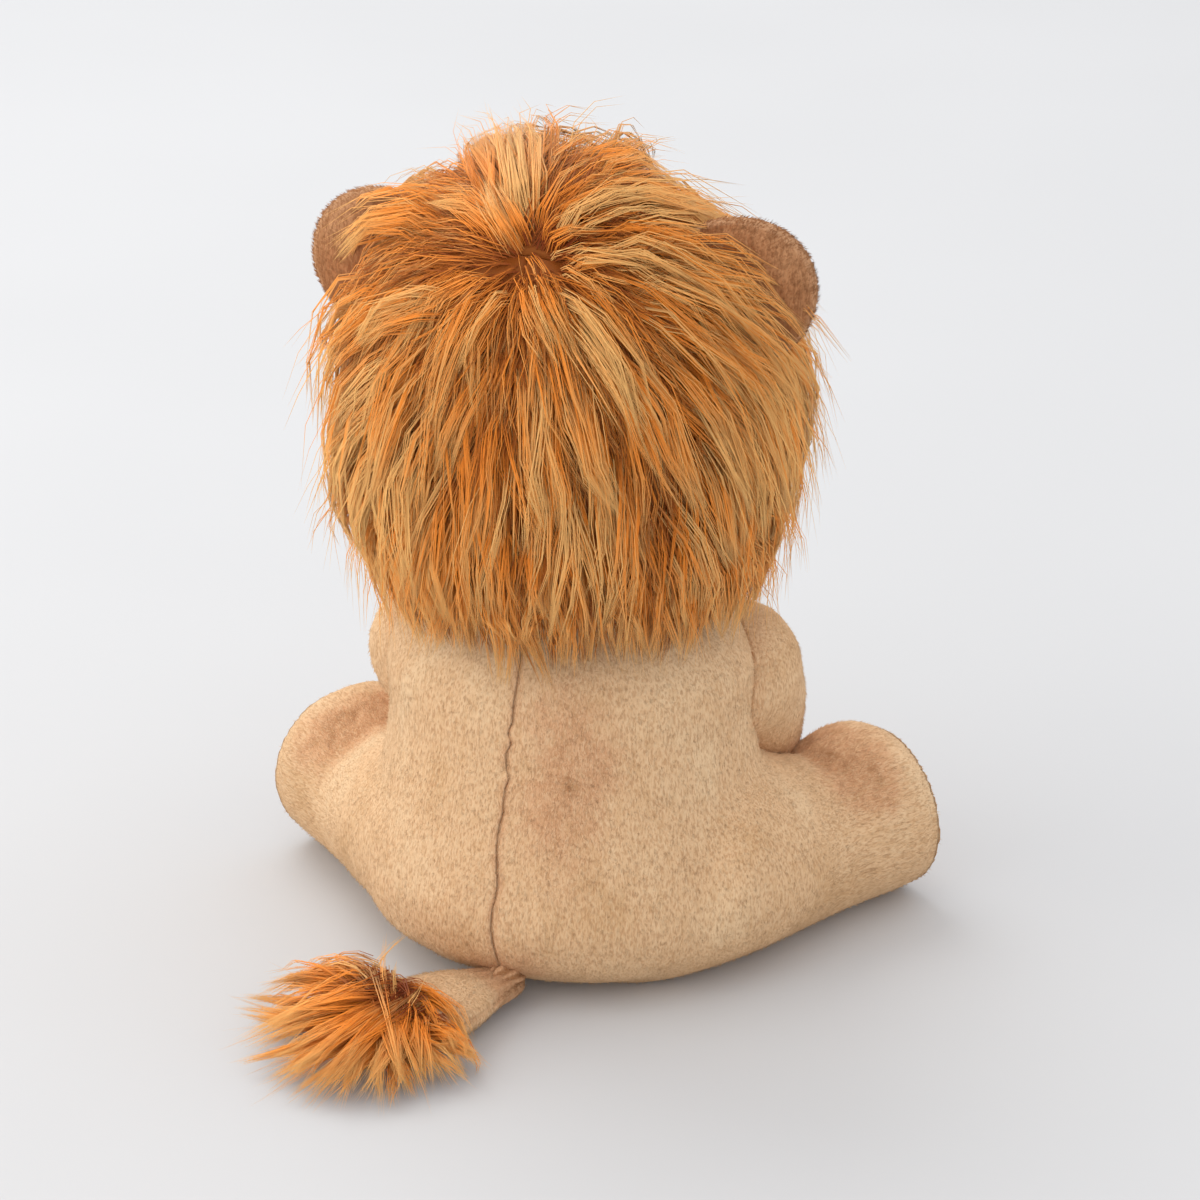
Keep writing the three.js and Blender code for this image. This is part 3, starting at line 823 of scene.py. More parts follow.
@dataclass(frozen=True)
class PlainFinish:
    """A finish with one colour that is mottled a little: filling, moulded plastic, thread.

    Attributes:
        name: The material's name.
        base: The main colour.
        other: The colour of the mottling.
        scale: How fine the mottling is, in patches to a metre.
        roughness: How dull it is.
        bump: The height of its grain in millimetres.
        coat: How much clear gloss lies over it.
        specular: How strongly its own surface shines.
    """

    name: str
    base: str
    other: str
    scale: float
    roughness: float
    bump: float = 0.0
    coat: float = 0.0
    specular: float = 0.5

    def wire(self, wiring: Wiring) -> dict[str, object]:
        """What goes into the shader."""
        grain = wiring.noise(wiring.place(), self.scale, 4.0, 0.3)
        duller, shinier = min(1.0, self.roughness * 1.15), self.roughness * 0.85
        values = {
            "Base Color": wiring.mix(wiring.span(grain, 0.35, 0.7), linear(self.base), linear(self.other)),
            "Roughness": wiring.span(grain, 0.3, 0.7, shinier, duller),
            "Specular IOR Level": self.specular,
            "Coat Weight": self.coat,
            "Coat Roughness": 0.05,
        }
        if self.bump:
            values["Normal"] = wiring.bump(grain, strength=0.6, distance=self.bump)
        return values

    def material(self) -> bpy.types.Material:
        """The finish's material."""
        return shared_material(f"{self.name}_finish", self.wire)


BODY_PLUSH = PlushFinish("body_plush", "dab389", "c09567", "e7c9a1", "cd9a72", "a16f47")
BELLY_PLUSH = PlushFinish("belly_plush", "dcbc92", "c29a6c", "ead0aa", "cca27a", "ab7e56")
SOLE_PLUSH = PlushFinish("sole_plush", "b98b5f", "9d7047", "caa074", "a87c54", "875a36")
MUZZLE_PLUSH = PlushFinish("muzzle_plush", "ecdab9", "d9c39c", "f6ead0", "dcc6a0", "c2a67c")
EAR_PLUSH = PlushFinish("ear_plush", "ae754b", "8c5834", "c79468", "cc9c74", "764728")
MANE_FUR = HairFinish("mane_fur", "74270a", "ff9534", "ffcb80", spread=0.8)
# Painted shade: a darker copy of the mane's fur, for the pile deep under the locks and the core of the
# tail's tuft.
SHADED_UNDER_FUR = HairFinish("shaded_under_fur", "7c3c0e", "a95a18", "c06d22", spread=0.4)
NOSE_VELOUR = PlushFinish(
    "nose_velour", "55301e", "3a1f13", "6b4330", "4a2a1b", "2c170e", streak=0.2, sheen=0.1
)
EYE_PLASTIC = PlainFinish(
    "eye_plastic", "160c07", "24160b", scale=160.0, roughness=0.1, coat=0.12, specular=0.3
)
WASHER_PLASTIC = PlainFinish("washer_plastic", "ebe8e1", "dedad0", scale=120.0, roughness=0.5)
FILLING = PlainFinish("fibre_filling", "f5f3ee", "e2dfd8", scale=300.0, roughness=0.95, bump=0.8)
POUCH_COTTON = PlainFinish("pouch_cotton", "dcd6c9", "c9c1b0", scale=500.0, roughness=0.9, bump=0.5)
DARK_THREAD = PlainFinish("mouth_thread", "5a3826", "45291a", scale=900.0, roughness=0.6, bump=0.1)


def add_piece(
    mesh: Mesh,
    material: bpy.types.Material,
    slot: str,
    body: str,
    replaces: Iterable[str] = (),
) -> Piece:
    """Make a piece of the lion from a mesh that is in place.

    Args:
        mesh: The piece's mesh. Its name is the piece's name.
        material: What it is finished in.
        slot: The record's material slot. It is not used.
        body: The CAD body that it rides on.
        replaces: The CAD nodes that it stands for.

    Returns:
        The piece.
    """
    made = put_in_scene(mesh.name, mesh)
    mesh.materials.clear()
    mesh.materials.append(material)
    mesh.shade_smooth()
    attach(made, body)
    if replaces:
        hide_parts(*replaces)
    log.info("%s: %d faces, rides on %s", made.name, len(mesh.polygons), body)
    return made


def add_plush(
    mesh: Mesh,
    coat: Mesh,
    finish: PlushFinish,
    body: str,
    replaces: Iterable[str],
) -> Piece:
    """Make a piece of padded cloth and the piece that is its pile.

    Args:
        mesh: The cloth.
        coat: Its pile.
        finish: The finish of both, named like the record's slot.
        body: The CAD body that they ride on.
        replaces: The CAD nodes that the cloth stands for.

    Returns:
        The cloth.
    """
    add_piece(coat, finish.nap_material(), finish.name, body)
    return add_piece(mesh, finish.material(), finish.name, body, replaces)


def thicken(piece: Piece, thickness: float) -> None:
    """Give an open skin the thickness of its cloth, inwards."""
    modifier = piece.modifiers.new("Cloth", "SOLIDIFY")
    modifier.thickness = thickness * MM
    modifier.offset = -1.0
    modifier.use_rim = True


def tapering(width: float, share: Array, count: int, seed: int) -> Array:
    """The half widths of hairs at shares of their length, thinner towards the tip.

    Args:
        width: The half width of a middling hair at its root.
        share: The shares of the length.
        count: How many hairs.
        seed: The seed of the draws.

    Returns:
        One row of half widths for each hair.
    """
    thickness = width * np.random.default_rng(seed).uniform(0.6, 1.25, count)
    return thickness[:, None] * (1 - 0.8 * share**1.6)


@dataclass
class Nap:
    """Short pile that stands on a cloth and is combed one way.

    Attributes:
        length: The pile's length.
        width: The half width of a tuft at its root.
        lean: The angle of the tufts over the cloth, in degrees.
        stir: How much the combing wanders.
        seed: The start of the random draws.
    """

    length: float = 1.9
    width: float = 0.15
    lean: float = 26.0
    stir: float = 0.3
    seed: int = 1

    def grow(
        self,
        mesh: Mesh,
        count: int,
        name: str,
        comb: Callable[[Array], Array],
        bare: Callable[[Array, Array], Array] | None = None,
    ) -> Mesh:
        """Tufts on a cloth.

        Args:
            mesh: The cloth, in metres.
            count: How many tufts.
            name: The new mesh's name.
            comb: Takes points and gives the way that the pile is combed there.
            bare: Takes points and normals and says where there are none.

        Returns:
            The tufts as one mesh.
        """
        rng = np.random.default_rng(self.seed)
        mesh.calc_loop_triangles()
        corners = vectors_of(mesh.loop_triangles, "vertices", np.int32)
        points, normals = points_of(mesh), normals_of(mesh)
        a, b, c = (points[corners[:, i]] for i in range(3))
        area = np.linalg.norm(np.cross(b - a, c - a), axis=1)
        chosen = rng.choice(len(corners), size=count, p=area / area.sum())
        share = rng.random((count, 2))
        fold = share.sum(axis=1) > 1
        share[fold] = 1 - share[fold]
        weight = np.column_stack([1 - share.sum(axis=1), share])[:, :, None]
        root = (points[corners[chosen]] * weight).sum(axis=1)
        normal = unit((normals[corners[chosen]] * weight).sum(axis=1))
        if bare is not None:
            kept = ~bare(root, normal)
            root, normal = root[kept], normal[kept]
        wander = SoftNoise(self.seed + 7)
        drift = np.stack([wander(root + 100 * axis, 6.0) for axis in range(3)], axis=1)
        drift = drift + 0.45 * rng.normal(size=root.shape)
        way = flatten_to(comb(root) + self.stir * drift, normal)
        lean = np.radians(self.lean * (0.6 + 0.8 * rng.random((len(root), 1))))
        length = self.length * (0.65 + 0.6 * rng.random((len(root), 1)))
        tip = root + length * (np.cos(lean) * way + np.sin(lean) * 0.8 * normal)
        tip[:, 2] = np.maximum(tip[:, 2], 0.3)
        tone = np.clip(0.5 + 0.35 * wander(root, 2.2) + 0.22 * rng.normal(size=len(root)), 0, 1)
        spines = np.stack([root - 0.3 * normal, tip], axis=1)
        width = self.width * np.ones((len(root), 1))
        return Strands(spines, width, normal, tone, softness=0.85).mesh(name)


# Body


@dataclass
class Leg:
    """One stuffed leg, sewn in one with the body, that ends in a flat sole.

    Attributes:
        side: Which leg.
        splay: How far it turns outwards from the side, in degrees.
        hip_offset: How far out the hip is.
        hip_shift: How far both hips are set to the right.
        hip_back: How far back they are.
        middle_height: The height of the foot's middle.
        floor_press: How far the leg sinks into the floor.
        sole_distance: How far the sole is from the hip.
        seam_inset: How far from the sole its seam lies.
        sections: Distance from the hip and radius.
    """

    side: Side
    splay: float
    hip_offset: float = 40.0
    hip_shift: float = 5.0
    hip_back: float = 11.0
    middle_height: float = 28.0
    floor_press: float = 0.5
    sole_distance: float = 90.0
    seam_inset: float = 1.6
    rings: int = 64
    sides: int = 48
    sections: tuple = (
        (-34.0, 8.0), (-24.0, 25.0), (-10.0, 35.0), (0.0, 37.0), (14.0, 36.6), (30.0, 34.4),
        (42.0, 31.6), (53.0, 29.6), (64.0, 30.4), (74.0, 31.6), (82.0, 31.2), (87.5, 29.4),
        (90.5, 26.4), (91.5, 22.0),
    )

    @property
    def outward(self) -> Array:
        """The way that the leg points."""
        turn = math.radians(self.splay)
        return np.array([math.cos(turn) * self.side.sign, -math.sin(turn), 0.0])

    @property
    def hip(self) -> Array:
        """The floor point under the hip."""
        return np.array([self.hip_offset * self.side.sign - self.hip_shift, self.hip_back, 0.0])

    @property
    def across(self) -> Array:
        """The level way square to the leg."""
        return np.cross(UP, self.outward)

    def distance(self, points: Array) -> Array:
        """How far points are along the leg from the hip."""
        return (points - self.hip) @ self.outward

    def add_to(self, shape: Shape) -> None:
        """Add the leg's closed skin to a shape."""
        distance = np.linspace(self.sections[0][0], self.sections[-1][0], self.rings)
        radius = flowing(self.sections, distance)[:, 0]
        spine = self.hip + distance[:, None] * self.outward
        spine[:, 2] = radius - self.floor_press
        angle = np.arange(self.sides) / self.sides * FULL_TURN
        circle = np.outer(np.cos(angle), self.across) + np.outer(np.sin(angle), UP)
        loft(shape, [centre + size * circle for centre, size in zip(spine, radius)])

    def folds(
        self, points: Array, normals: Array, lumps: SoftNoise
    ) -> tuple[Array, Array]:
        """The folds over the foot and the lip of the sole's seam.

        Args:
            points: The skin's points.
            normals: Their normals.
            lumps: The noise that makes both uneven.

        Returns:
            How far each of the two pushes the points out.
        """
        along = self.distance(points)
        offset = points - self.hip
        near = np.linalg.norm(offset @ np.column_stack([self.across, UP]) - [0, self.middle_height], axis=1)
        on_leg = ramp(60.0, 30.0, near) * ramp(30.0, 44.0, along) * ramp(92.0, 80.0, along)
        around = np.arctan2(offset @ self.across, points[:, 2] - self.middle_height)
        ridges = np.sin(around * 9.0 + 2.0 * lumps(points + 900, 14.0)) * bell(along, 58.0, 9.0)
        fold = -1.6 * bell(along - 56.0, 2.0 * lumps(points + 500, 12.0), 3.2)
        lip = bell(along, 88.6, 1.3) * 1.1 - bell(along, 86.0, 1.6) * 0.7
        over = on_leg * ramp(0.15, 0.75, normals[:, 2]) * (0.55 * ridges + fold)
        return over, lip * ramp(70.0, 50.0, near)


@dataclass
class Body:
    """The torso with both legs: cloth panels and soles.

    Attributes:
        height: How high the torso's own skin goes.
        half_width: Its half width where it is widest.
        half_depth: Its half depth where it is deepest.
        lean: How far it is set back there.
        rows: Height share, half width share, half depth share and lean share of its rings.
        seam_wander: Height, and where the centre back seam runs there.
        belly_half_width: The belly panel's half width.
        belly_back: How far back it goes under the seat.
        cloth: The cloth's thickness.
        voxel: The size of the skin's faces.
        skin_growth: How far the skin stands out of the rings.
        hidden_above: The height from which the mane hides the pile.
        legs: The legs by their side.
    """

    height: float = 148.0
    half_width: float = 72.0
    half_depth: float = 63.0
    lean: float = 6.0
    rows: tuple = (
        (0.0, 0.6, 0.56, 0.0), (0.025, 0.78, 0.72, 0.1), (0.08, 0.94, 0.89, 0.3), (0.18, 1.0, 1.0, 0.5),
        (0.31, 0.97, 0.98, 0.5), (0.45, 0.9, 0.91, 0.4), (0.6, 0.86, 0.84, 0.2),
        (0.74, 0.86, 0.79, 0.1), (0.82, 0.77, 0.72, 0.0), (0.88, 0.65, 0.63, 0.0),
        (0.95, 0.53, 0.55, 0.0), (1.0, 0.42, 0.46, 0.0),
    )
    seam_wander: tuple = (
        (0.0, 12.6), (10.0, 12.2), (38.0, 13.8), (48.0, 12.2), (62.0, 13.6), (80.0, 11.0), (100.0, 9.8),
        (118.0, 8.2), (148.0, 7.8),
    )
    belly_half_width: float = 27.0
    belly_back: float = 28.0
    cloth: float = 2.0
    voxel: float = 1.7
    skin_growth: float = 0.5
    hidden_above: float = 146.0
    rings: int = 60
    sides: int = 80
    legs: dict = field(
        default_factory=lambda: {side: Leg(side, splay) for side, splay in zip(Side, (46.0, 50.0))}
    )

    def seam_x(self, height: Array) -> Array:
        """Where the centre back seam runs, across the body."""
        jogs = SoftNoise(Seed.BACK_SEAM)(np.column_stack([np.zeros((len(height), 2)), height]), 4.0)
        jogs = 0.9 * jogs * ramp(46.0, 60.0, height) * ramp(112.0, 98.0, height)
        return flowing(self.seam_wander, height)[:, 0] + jogs

    def off_seam(self, points: Array) -> Array:
        """How far to the left of the centre back seam points lie."""
        return points[:, 0] - self.seam_x(points[:, 2])

    def half_sizes(self, height: Array) -> Array:
        """The torso's half width, half depth and lean at heights."""
        shares = flowing(self.rows, height / self.height)
        return shares * np.array([self.half_width, self.half_depth, self.lean])

    def inside(self, points: Array) -> Array:
        """How deep points lie in the torso: under 1 inside, over 1 outside."""
        sizes = self.half_sizes(points[:, 2])
        level = np.hypot(points[:, 0] / sizes[:, 0], (points[:, 1] - sizes[:, 2]) / sizes[:, 1])
        return np.where(points[:, 2] > self.height, 9.0, level)

    def skin(self) -> Mesh:
        """The even skin of the torso and both legs, before it is parted into panels."""
        shape = bmesh.new()
        heights = np.linspace(0.0, self.height, self.rings)
        sizes = self.half_sizes(heights)
        angle = np.arange(self.sides) / self.sides * FULL_TURN
        rings = [
            np.column_stack([
                np.cos(angle) * (width + self.skin_growth),
                np.sin(angle) * (depth + self.skin_growth) + lean,
                np.full_like(angle, height),
            ])
            for height, (width, depth, lean) in zip(heights, sizes)
        ]
        loft(shape, rings)
        for leg in self.legs.values():
            leg.add_to(shape)
        mesh = remeshed(shape, self.voxel, relax=10, name="body_skin")
        points = points_of(mesh)
        points = self.soften(points, normals_of(mesh))
        points[:, 2] = np.maximum(points[:, 2], 0.0)
        set_points(mesh, points)
        return mesh

    def soften(self, points: Array, normals: Array) -> Array:
        """Lumps of stuffing, folds and the seam's dip.

        Args:
            points: The skin's points.
            normals: Their normals.

        Returns:
            The points moved.
        """
        lumps = SoftNoise(Seed.BODY)
        push = 0.9 * lumps(points, 26.0) + 0.35 * lumps(points + 300, (9.0, 9.0, 12.0))
        push = push * ramp(0.0, 14.0, points[:, 2])
        off_seam = np.abs(self.off_seam(points))
        pucker = 0.5 + 0.5 * lumps(points + 700, (40.0, 40.0, 4.5))
        dip = bell(off_seam, 0.0, 1.0) * 0.22 + bell(off_seam, 0.0, 6.0) * 0.35 * pucker
        push = push - np.where((points[:, 1] > 0) & (points[:, 2] < 150), dip, 0.0)
        for leg in self.legs.values():
            over, lip = leg.folds(points, normals, lumps)
            push = push + over + lip
        return points + normals * push[:, None]

    def panel_of(self, middles: Array) -> Array:
        """Which panel each face is in: 0 belly, 1 and 2 the left and right back, 3 and 4 the soles."""
        x, y, z = middles.T
        belly = (np.abs(x) < self.belly_half_width) & ((y < -12) | ((z < 3.5) & (y < self.belly_back)))
        on_left = np.where(y > 0, x > self.seam_x(z), x > 0)
        panel = np.where(belly, 0, np.where(on_left, 1, 2))
        for number, leg in enumerate(self.legs.values(), 3):
            panel = np.where(leg.distance(middles) > leg.sole_distance - leg.seam_inset, number, panel)
        return panel

    def straighten_seams(self, mesh: Mesh) -> Array:
        """Move the points where panels meet onto the line of their seam, and give each face's panel."""
        panel = self.panel_of(vectors_of(mesh.polygons, "center") / MM)
        points = points_of(mesh)
        touched = np.zeros((len(points), 5), bool)
        for polygon, number in zip(mesh.polygons, panel):
            touched[list(polygon.vertices), number] = True
        both = touched[:, 1] & touched[:, 2] & (points[:, 1] > 0)
        points[both, 0] = self.seam_x(points[both, 2])
        side_seam = touched[:, 0] & (touched[:, 1] | touched[:, 2]) & (points[:, 1] < -14)
        points[side_seam, 0] = np.sign(points[side_seam, 0]) * self.belly_half_width
        for number, leg in enumerate(self.legs.values(), 3):
            rim = touched[:, number] & np.any(touched[:, :3], axis=1)
            off = leg.sole_distance - leg.seam_inset - leg.distance(points[rim])
            points[rim] += off[:, None] * leg.outward
        set_points(mesh, points)
        return panel

    def comb(self, points: Array) -> Array:
        """The pile runs down the body and along the legs."""
        way = np.tile([0.0, 0.0, -1.0], (len(points), 1))
        way[:, 0] += 0.15 * np.sign(points[:, 0])
        for leg in self.legs.values():
            on_leg = ramp(25.0, 60.0, leg.distance(points))[:, None]
            way = way + on_leg * (leg.outward * 1.6 + [0.0, 0.0, 0.5])
        return way

    def seam(self, points: Array) -> Array:
        """How far points lie from a seam."""
        nearest = np.where(points[:, 1] > 0, np.abs(self.off_seam(points)), FAR_OFF)
        for leg in self.legs.values():
            nearest = np.minimum(nearest, np.abs(leg.distance(points) - leg.sole_distance + leg.seam_inset))
        return nearest

    def turned(self, points: Array) -> Array:
        """How far the pile runs along a leg and not down the body."""
        return np.max([ramp(22.0, 40.0, leg.distance(points)) for leg in self.legs.values()], axis=0)

    def bare(self, points: Array, normals: Array) -> Array:
        """No pile is made on what rests on the floor, up under the mane, or in a seam."""
        hidden = ((points[:, 2] < 1.2) & (normals[:, 2] < -0.5)) | (points[:, 2] > self.hidden_above)
        return hidden | (self.seam(points) < 0.5)

    def mark(self, mesh: Mesh) -> None:
        """Store what the finish reads: wear, the way of the pile and how near a seam is."""
        points = points_of(mesh)
        add_values(mesh, "wear", self.wear(points))
        add_values(mesh, "turned", self.turned(points))
        add_values(mesh, "seam", np.clip(4.0 - self.seam(points), 0, 4))

    def wear(self, points: Array) -> Array:
        """The rubbed, redder patch to the right of the back seam, the folds over the feet, and painted shade
        on the body round the tail's root.
        """
        noise = SoftNoise(Seed.RUBBED)
        place = points + 6.0 * np.stack([noise(points + shift, 18.0) for shift in (0, 50, 90)], 1)
        behind = points[:, 1] > 0
        off_seam = self.off_seam(points)
        patch = blob(place[:, [0, 2]], (-9.0, 84.0), (17.0, 32.0)) * behind
        patch = patch * (0.35 + 0.65 * ramp(3.0, -3.0, off_seam))
        # Painted shade on the body where the tail's root meets it, low at the back.
        low = blob(place, (8.0, 60.0, 14.0), (14.0, 20.0, 9.0))
        seam = bell(off_seam, 0.0, 2.5) * behind * 0.35
        total = np.maximum(np.maximum(0.62 * patch, seam), 0.5 * low)
        for leg in self.legs.values():
            over_foot = 0.62 * bell(leg.distance(place), 64.0, 12.0) * ramp(34.0, 54.0, points[:, 2])
            total = np.maximum(total, over_foot)
        return np.clip(total * (1 + 0.45 * noise(points + 400, 3.0)), 0, 1)

    def build(self) -> None:
        """Make the panels and their pile."""
        skin = self.skin()
        panels = self.straighten_seams(skin)
        self.mark(skin)
        parts = (
            ("belly_cloth", BELLY_PLUSH, ("belly_panel",), 5000),
            ("back_cloth_left", BODY_PLUSH, ("back_panel_left", "leg_skin_left"), 15000),
            ("back_cloth_right", BODY_PLUSH, ("back_panel_right", "leg_skin_right"), 18000),
            ("sole_cloth_left", SOLE_PLUSH, ("foot_sole_left",), 1800),
            ("sole_cloth_right", SOLE_PLUSH, ("foot_sole_right",), 1800),
        )
        for number, (name, finish, nodes, tufts) in enumerate(parts):
            mesh = part_of_mesh(skin, panels == number, name)
            coat = Nap(seed=Seed.BODY_NAP + number).grow(mesh, tufts, f"{name}_nap", self.comb, self.bare)
            self.mark(coat)
            thicken(add_plush(mesh, coat, finish, "torso", nodes), self.cloth)
        bpy.data.meshes.remove(skin)


@dataclass
class Arm:
    """One stuffed arm, from its ball at the shoulder to a paw by the floor.

    Attributes:
        side: Which arm.
        body: What it is sewn to.
        stations: Points of the left arm's middle line and the radius there.
        round_off: The angles of the rings that round off both ends.
        skin_growth: How far the skin stands out of the rings.
        voxel: The size of the skin's faces.
    """

    side: Side
    body: Body
    stations: tuple = (
        (51.0, -20.0, 95.0, 25.0),
        (51.0, -45.0, 68.0, 23.0),
        (42.0, -76.0, 27.0, 22.0),
    )
    round_off: tuple = (15, 30, 45, 60, 74, 86)
    skin_growth: float = 0.4
    voxel: float = 1.8
    rings: int = 30
    sides: int = 44

    def spine(self) -> tuple[Array, Array]:
        """The arm's middle line from end to end, and its radius there."""
        table = np.array(self.stations)
        table[:, 0] *= self.side.sign
        place = np.linspace(0, 1, len(table))
        line = flowing(np.column_stack([place, table]), np.linspace(0, 1, self.rings))
        spine, radius = line[:, :3], line[:, 3]
        first, last = unit(spine[1] - spine[0]), unit(spine[-1] - spine[-2])
        after = np.radians(self.round_off)
        before = after[::-1]
        spine = np.concatenate([
            spine[0] - np.sin(before)[:, None] * first * radius[0],
            spine,
            spine[-1] + np.sin(after)[:, None] * last * radius[-1],
        ])
        return spine, np.concatenate([np.cos(before) * radius[0], radius, np.cos(after) * radius[-1]])

    def build(self) -> None:
        """Make the arm's skin and its pile."""
        label, sign = self.side.label, self.side.sign
        spine, radius = self.spine()
        shape = bmesh.new()
        loft(shape, limb_rings(spine, radius + self.skin_growth, self.sides))
        mesh = remeshed(shape, self.voxel, relax=4, name=f"arm_cloth_{label}")
        points, normals = points_of(mesh), normals_of(mesh)
        lumps = SoftNoise(Seed.ARM + sign)
        push = 0.8 * lumps(points, 22.0) + 0.3 * lumps(points + 200, 8.0)
        outer = np.abs(points[:, 0] * sign - self.stations[0][0] - 6.0)
        points = points + normals * push[:, None]
        points[:, 2] = np.maximum(points[:, 2], 0.6)
        set_points(mesh, points)
        low = bell(points[:, 2], 46.0, 14.0) * ramp(-70.0, -45.0, points[:, 1])
        add_values(mesh, "wear", np.maximum(0.25 * ramp(14.0, 4.0, outer), 0.75 * low))
        # Painted shadow: the seam's dark line is drawn where the arm meets the torso.
        add_values(mesh, "seam", np.clip(4.4 - (self.body.inside(points) - 1.0) * 60.0, 0, 4))

        def comb(at: Array) -> Array:
            """Down the arm."""
            nearest = np.argmin(np.linalg.norm(at[:, None] - spine[None, ::2], axis=2), axis=1)
            return unit(np.gradient(spine, axis=0)[::2][nearest]) * 0.6 + np.array([0, 0, -0.5])

        def bare(at: Array, _: Array) -> Array:
            """No pile inside the torso."""
            return self.body.inside(at) < 0.97

        coat = Nap(seed=Seed.ARM_NAP + sign).grow(mesh, 7000, f"arm_cloth_{label}_nap", comb, bare)
        add_values(coat, "wear", 0.0)
        add_plush(mesh, coat, BODY_PLUSH, f"arm_{label}", (f"arm_skin_{label}",))


# Head


@dataclass
class HeadFrame:
    """Where the head sits: turned a little, and set off the middle.

    Attributes:
        turn: How far it is turned, in degrees.
        shift: How far it is set to the lion's left.
    """

    turn: float = -3.0
    shift: float = 2.5

    def place(self, points: Array) -> Array:
        """Points of the straight head in the lion's frame."""
        return points @ turn_about_up(self.turn) + [self.shift, 0.0, 0.0]

    def place_vectors(self, vectors: Array) -> Array:
        """Directions of the straight head in the lion's frame."""
        return self.place(vectors) - [self.shift, 0.0, 0.0]

    def place_mesh(self, mesh: Mesh) -> Mesh:
        """Turn and shift a mesh that was made on the straight head."""
        set_points(mesh, self.place(points_of(mesh)))
        return mesh


@dataclass
class ManeShape:
    """The outside of the brushed mane on the straight head, and the head that it grows on.

    A level says how far out a point is: 1 on the outside of the mane.

    Attributes:
        half_width: The half width where the mane is widest.
        half_depth: The half depth where it is deepest.
        crown_height: How high it goes over its middle.
        middle_height: Where it is widest.
        lower_rows: Height, half width share and half depth share below there.
        head_centre: The middle of the head.
        head_half: Its half sizes.
        whorl: Where the fur parts on the crown.
        face: The middle of the face's opening.
        opening_half_width: The opening's half width.
        opening_half_height: Its half height.
        opening_back: How far back it reaches.
        hem_root: The lowest roots behind.
        chin_root: The lowest roots in front.
        hem_tip: How low the trimmed tips hang.
        step: How far apart points are taken to find the way out of the coat.
    """

    half_width: float = 79.5
    half_depth: float = 76.0
    crown_height: float = 85.0
    middle_height: float = 210.0
    lower_rows: tuple = (
        (60.0, 0.70, 0.74), (110.0, 0.72, 0.77), (126.0, 0.76, 0.81), (137.8, 0.81, 0.87),
        (153.0, 0.90, 0.94), (171.6, 0.97, 0.99), (190.0, 1.0, 1.0), (210.0, 1.0, 1.0),
    )
    head_centre: tuple = (0.0, -6.0, 200.0)
    head_half: tuple = (62.0, 58.0, 60.0)
    whorl: tuple = (0.0, 51.7, 272.0)
    face: tuple = (0.0, -64.0, 195.0)
    opening_half_width: float = 50.0
    opening_half_height: float = 47.0
    opening_back: float = -12.0
    hem_root: float = 150.0
    chin_root: float = 140.5
    hem_tip: float = 128.0
    step: float = 0.5

    def sizes(self, height: Array) -> Array:
        """Half width and half depth below the middle."""
        return flowing(self.lower_rows, height) * [self.half_width, self.half_depth]

    def level(self, points: Array) -> Array:
        """How far out points lie: 1 on the outside of the mane."""
        x, y, z = np.moveaxis(points, -1, 0)
        over = np.maximum(z - self.middle_height, 0.0) / self.crown_height
        sizes = self.sizes(np.minimum(z, self.middle_height).ravel()).reshape(z.shape + (2,))
        return np.sqrt((x / sizes[..., 0]) ** 2 + (y / sizes[..., 1]) ** 2 + over**2)

    def at_level(self, points: Array, level: Array) -> Array:
        """Points moved straight out or in to a level."""
        scale = level / np.maximum(self.level(points), 0.05)
        moved = points * scale[..., None]
        rise = (points[..., 2] - self.middle_height) * scale
        high = points[..., 2] > self.middle_height
        moved[..., 2] = np.where(high, self.middle_height + rise, points[..., 2])
        return moved

    def normal(self, points: Array) -> Array:
        """The way out of the coat."""
        steps = self.step * np.eye(3)
        slopes = [self.level(points + step) - self.level(points - step) for step in steps]
        return unit(np.stack(slopes, axis=-1))

    def flow(self, points: Array, normals: Array) -> Array:
        """The way that the fur lies: out from the whorl, out round the face, and down as it hangs."""
        from_whorl = self.from_whorl(points)
        reach = np.linalg.norm(from_whorl, axis=-1, keepdims=True)
        away = flatten_to(from_whorl, normals)
        down = np.broadcast_to(-UP, points.shape)
        hang = np.clip((reach - 16.0) / 80.0, 0.03, 1.0) * 1.3
        fall = down - np.sum(down * normals, axis=-1, keepdims=True) * normals
        way = unit(away + hang * fall)
        around = unit(flatten_to(points - np.array(self.face), normals) + 0.45 * flatten_to(down, normals))
        front = (ramp(-22.0, -46.0, points[..., 1]) * ramp(264.0, 246.0, points[..., 2]))[..., None]
        way = unit(way * (1 - front) + around * front)
        ring = self.ring(points)[..., None]
        way = unit(way * (1 - ring) + ring * (0.4 * down - [0.0, 0.6, 0.0]))
        low = ramp(170.0, 138.0, points[..., 2])[..., None]
        return unit(way * (1 - 0.8 * low) + down * 0.8 * low)

    def trim(self, points: Array) -> Array:
        """How far out the coat goes, as a share: less high on the right and more high on the left."""
        high = ramp(214.0, 258.0, points[..., 2])
        right = 0.13 * high * ramp(-6.0, -44.0, points[..., 0])
        left = 0.02 * high * ramp(14.0, 46.0, points[..., 0])
        return 1 + left - right - 0.05 * ramp(262.0, 284.0, points[..., 2])

    def in_face(self, points: Array) -> Array:
        """How far points lie from the middle of the face's opening: 1 on its edge."""
        across = points[..., 0] / self.opening_half_width
        return np.hypot(across, (points[..., 2] - self.face[2]) / self.opening_half_height)

    def ring(self, points: Array) -> Array:
        """How near points lie to the edge of the face's opening, from 0 to 1."""
        return ramp(1.45, 1.12, self.in_face(points)) * (points[..., 1] < self.opening_back)

    def from_whorl(self, points: Array) -> Array:
        """The way from the whorl to points, both on the outside of the mane."""
        return self.at_level(points, np.ones(points.shape[:-1])) - np.array(self.whorl)

    def stand(self, points: Array) -> Array:
        """How far hairs lie along the coat, from 0 to 1: they stand up round the whorl."""
        lying = 0.2 + 0.8 * ramp(2.0, 38.0, np.linalg.norm(self.from_whorl(points), axis=-1))
        return lying * (1 - 0.75 * self.ring(points))

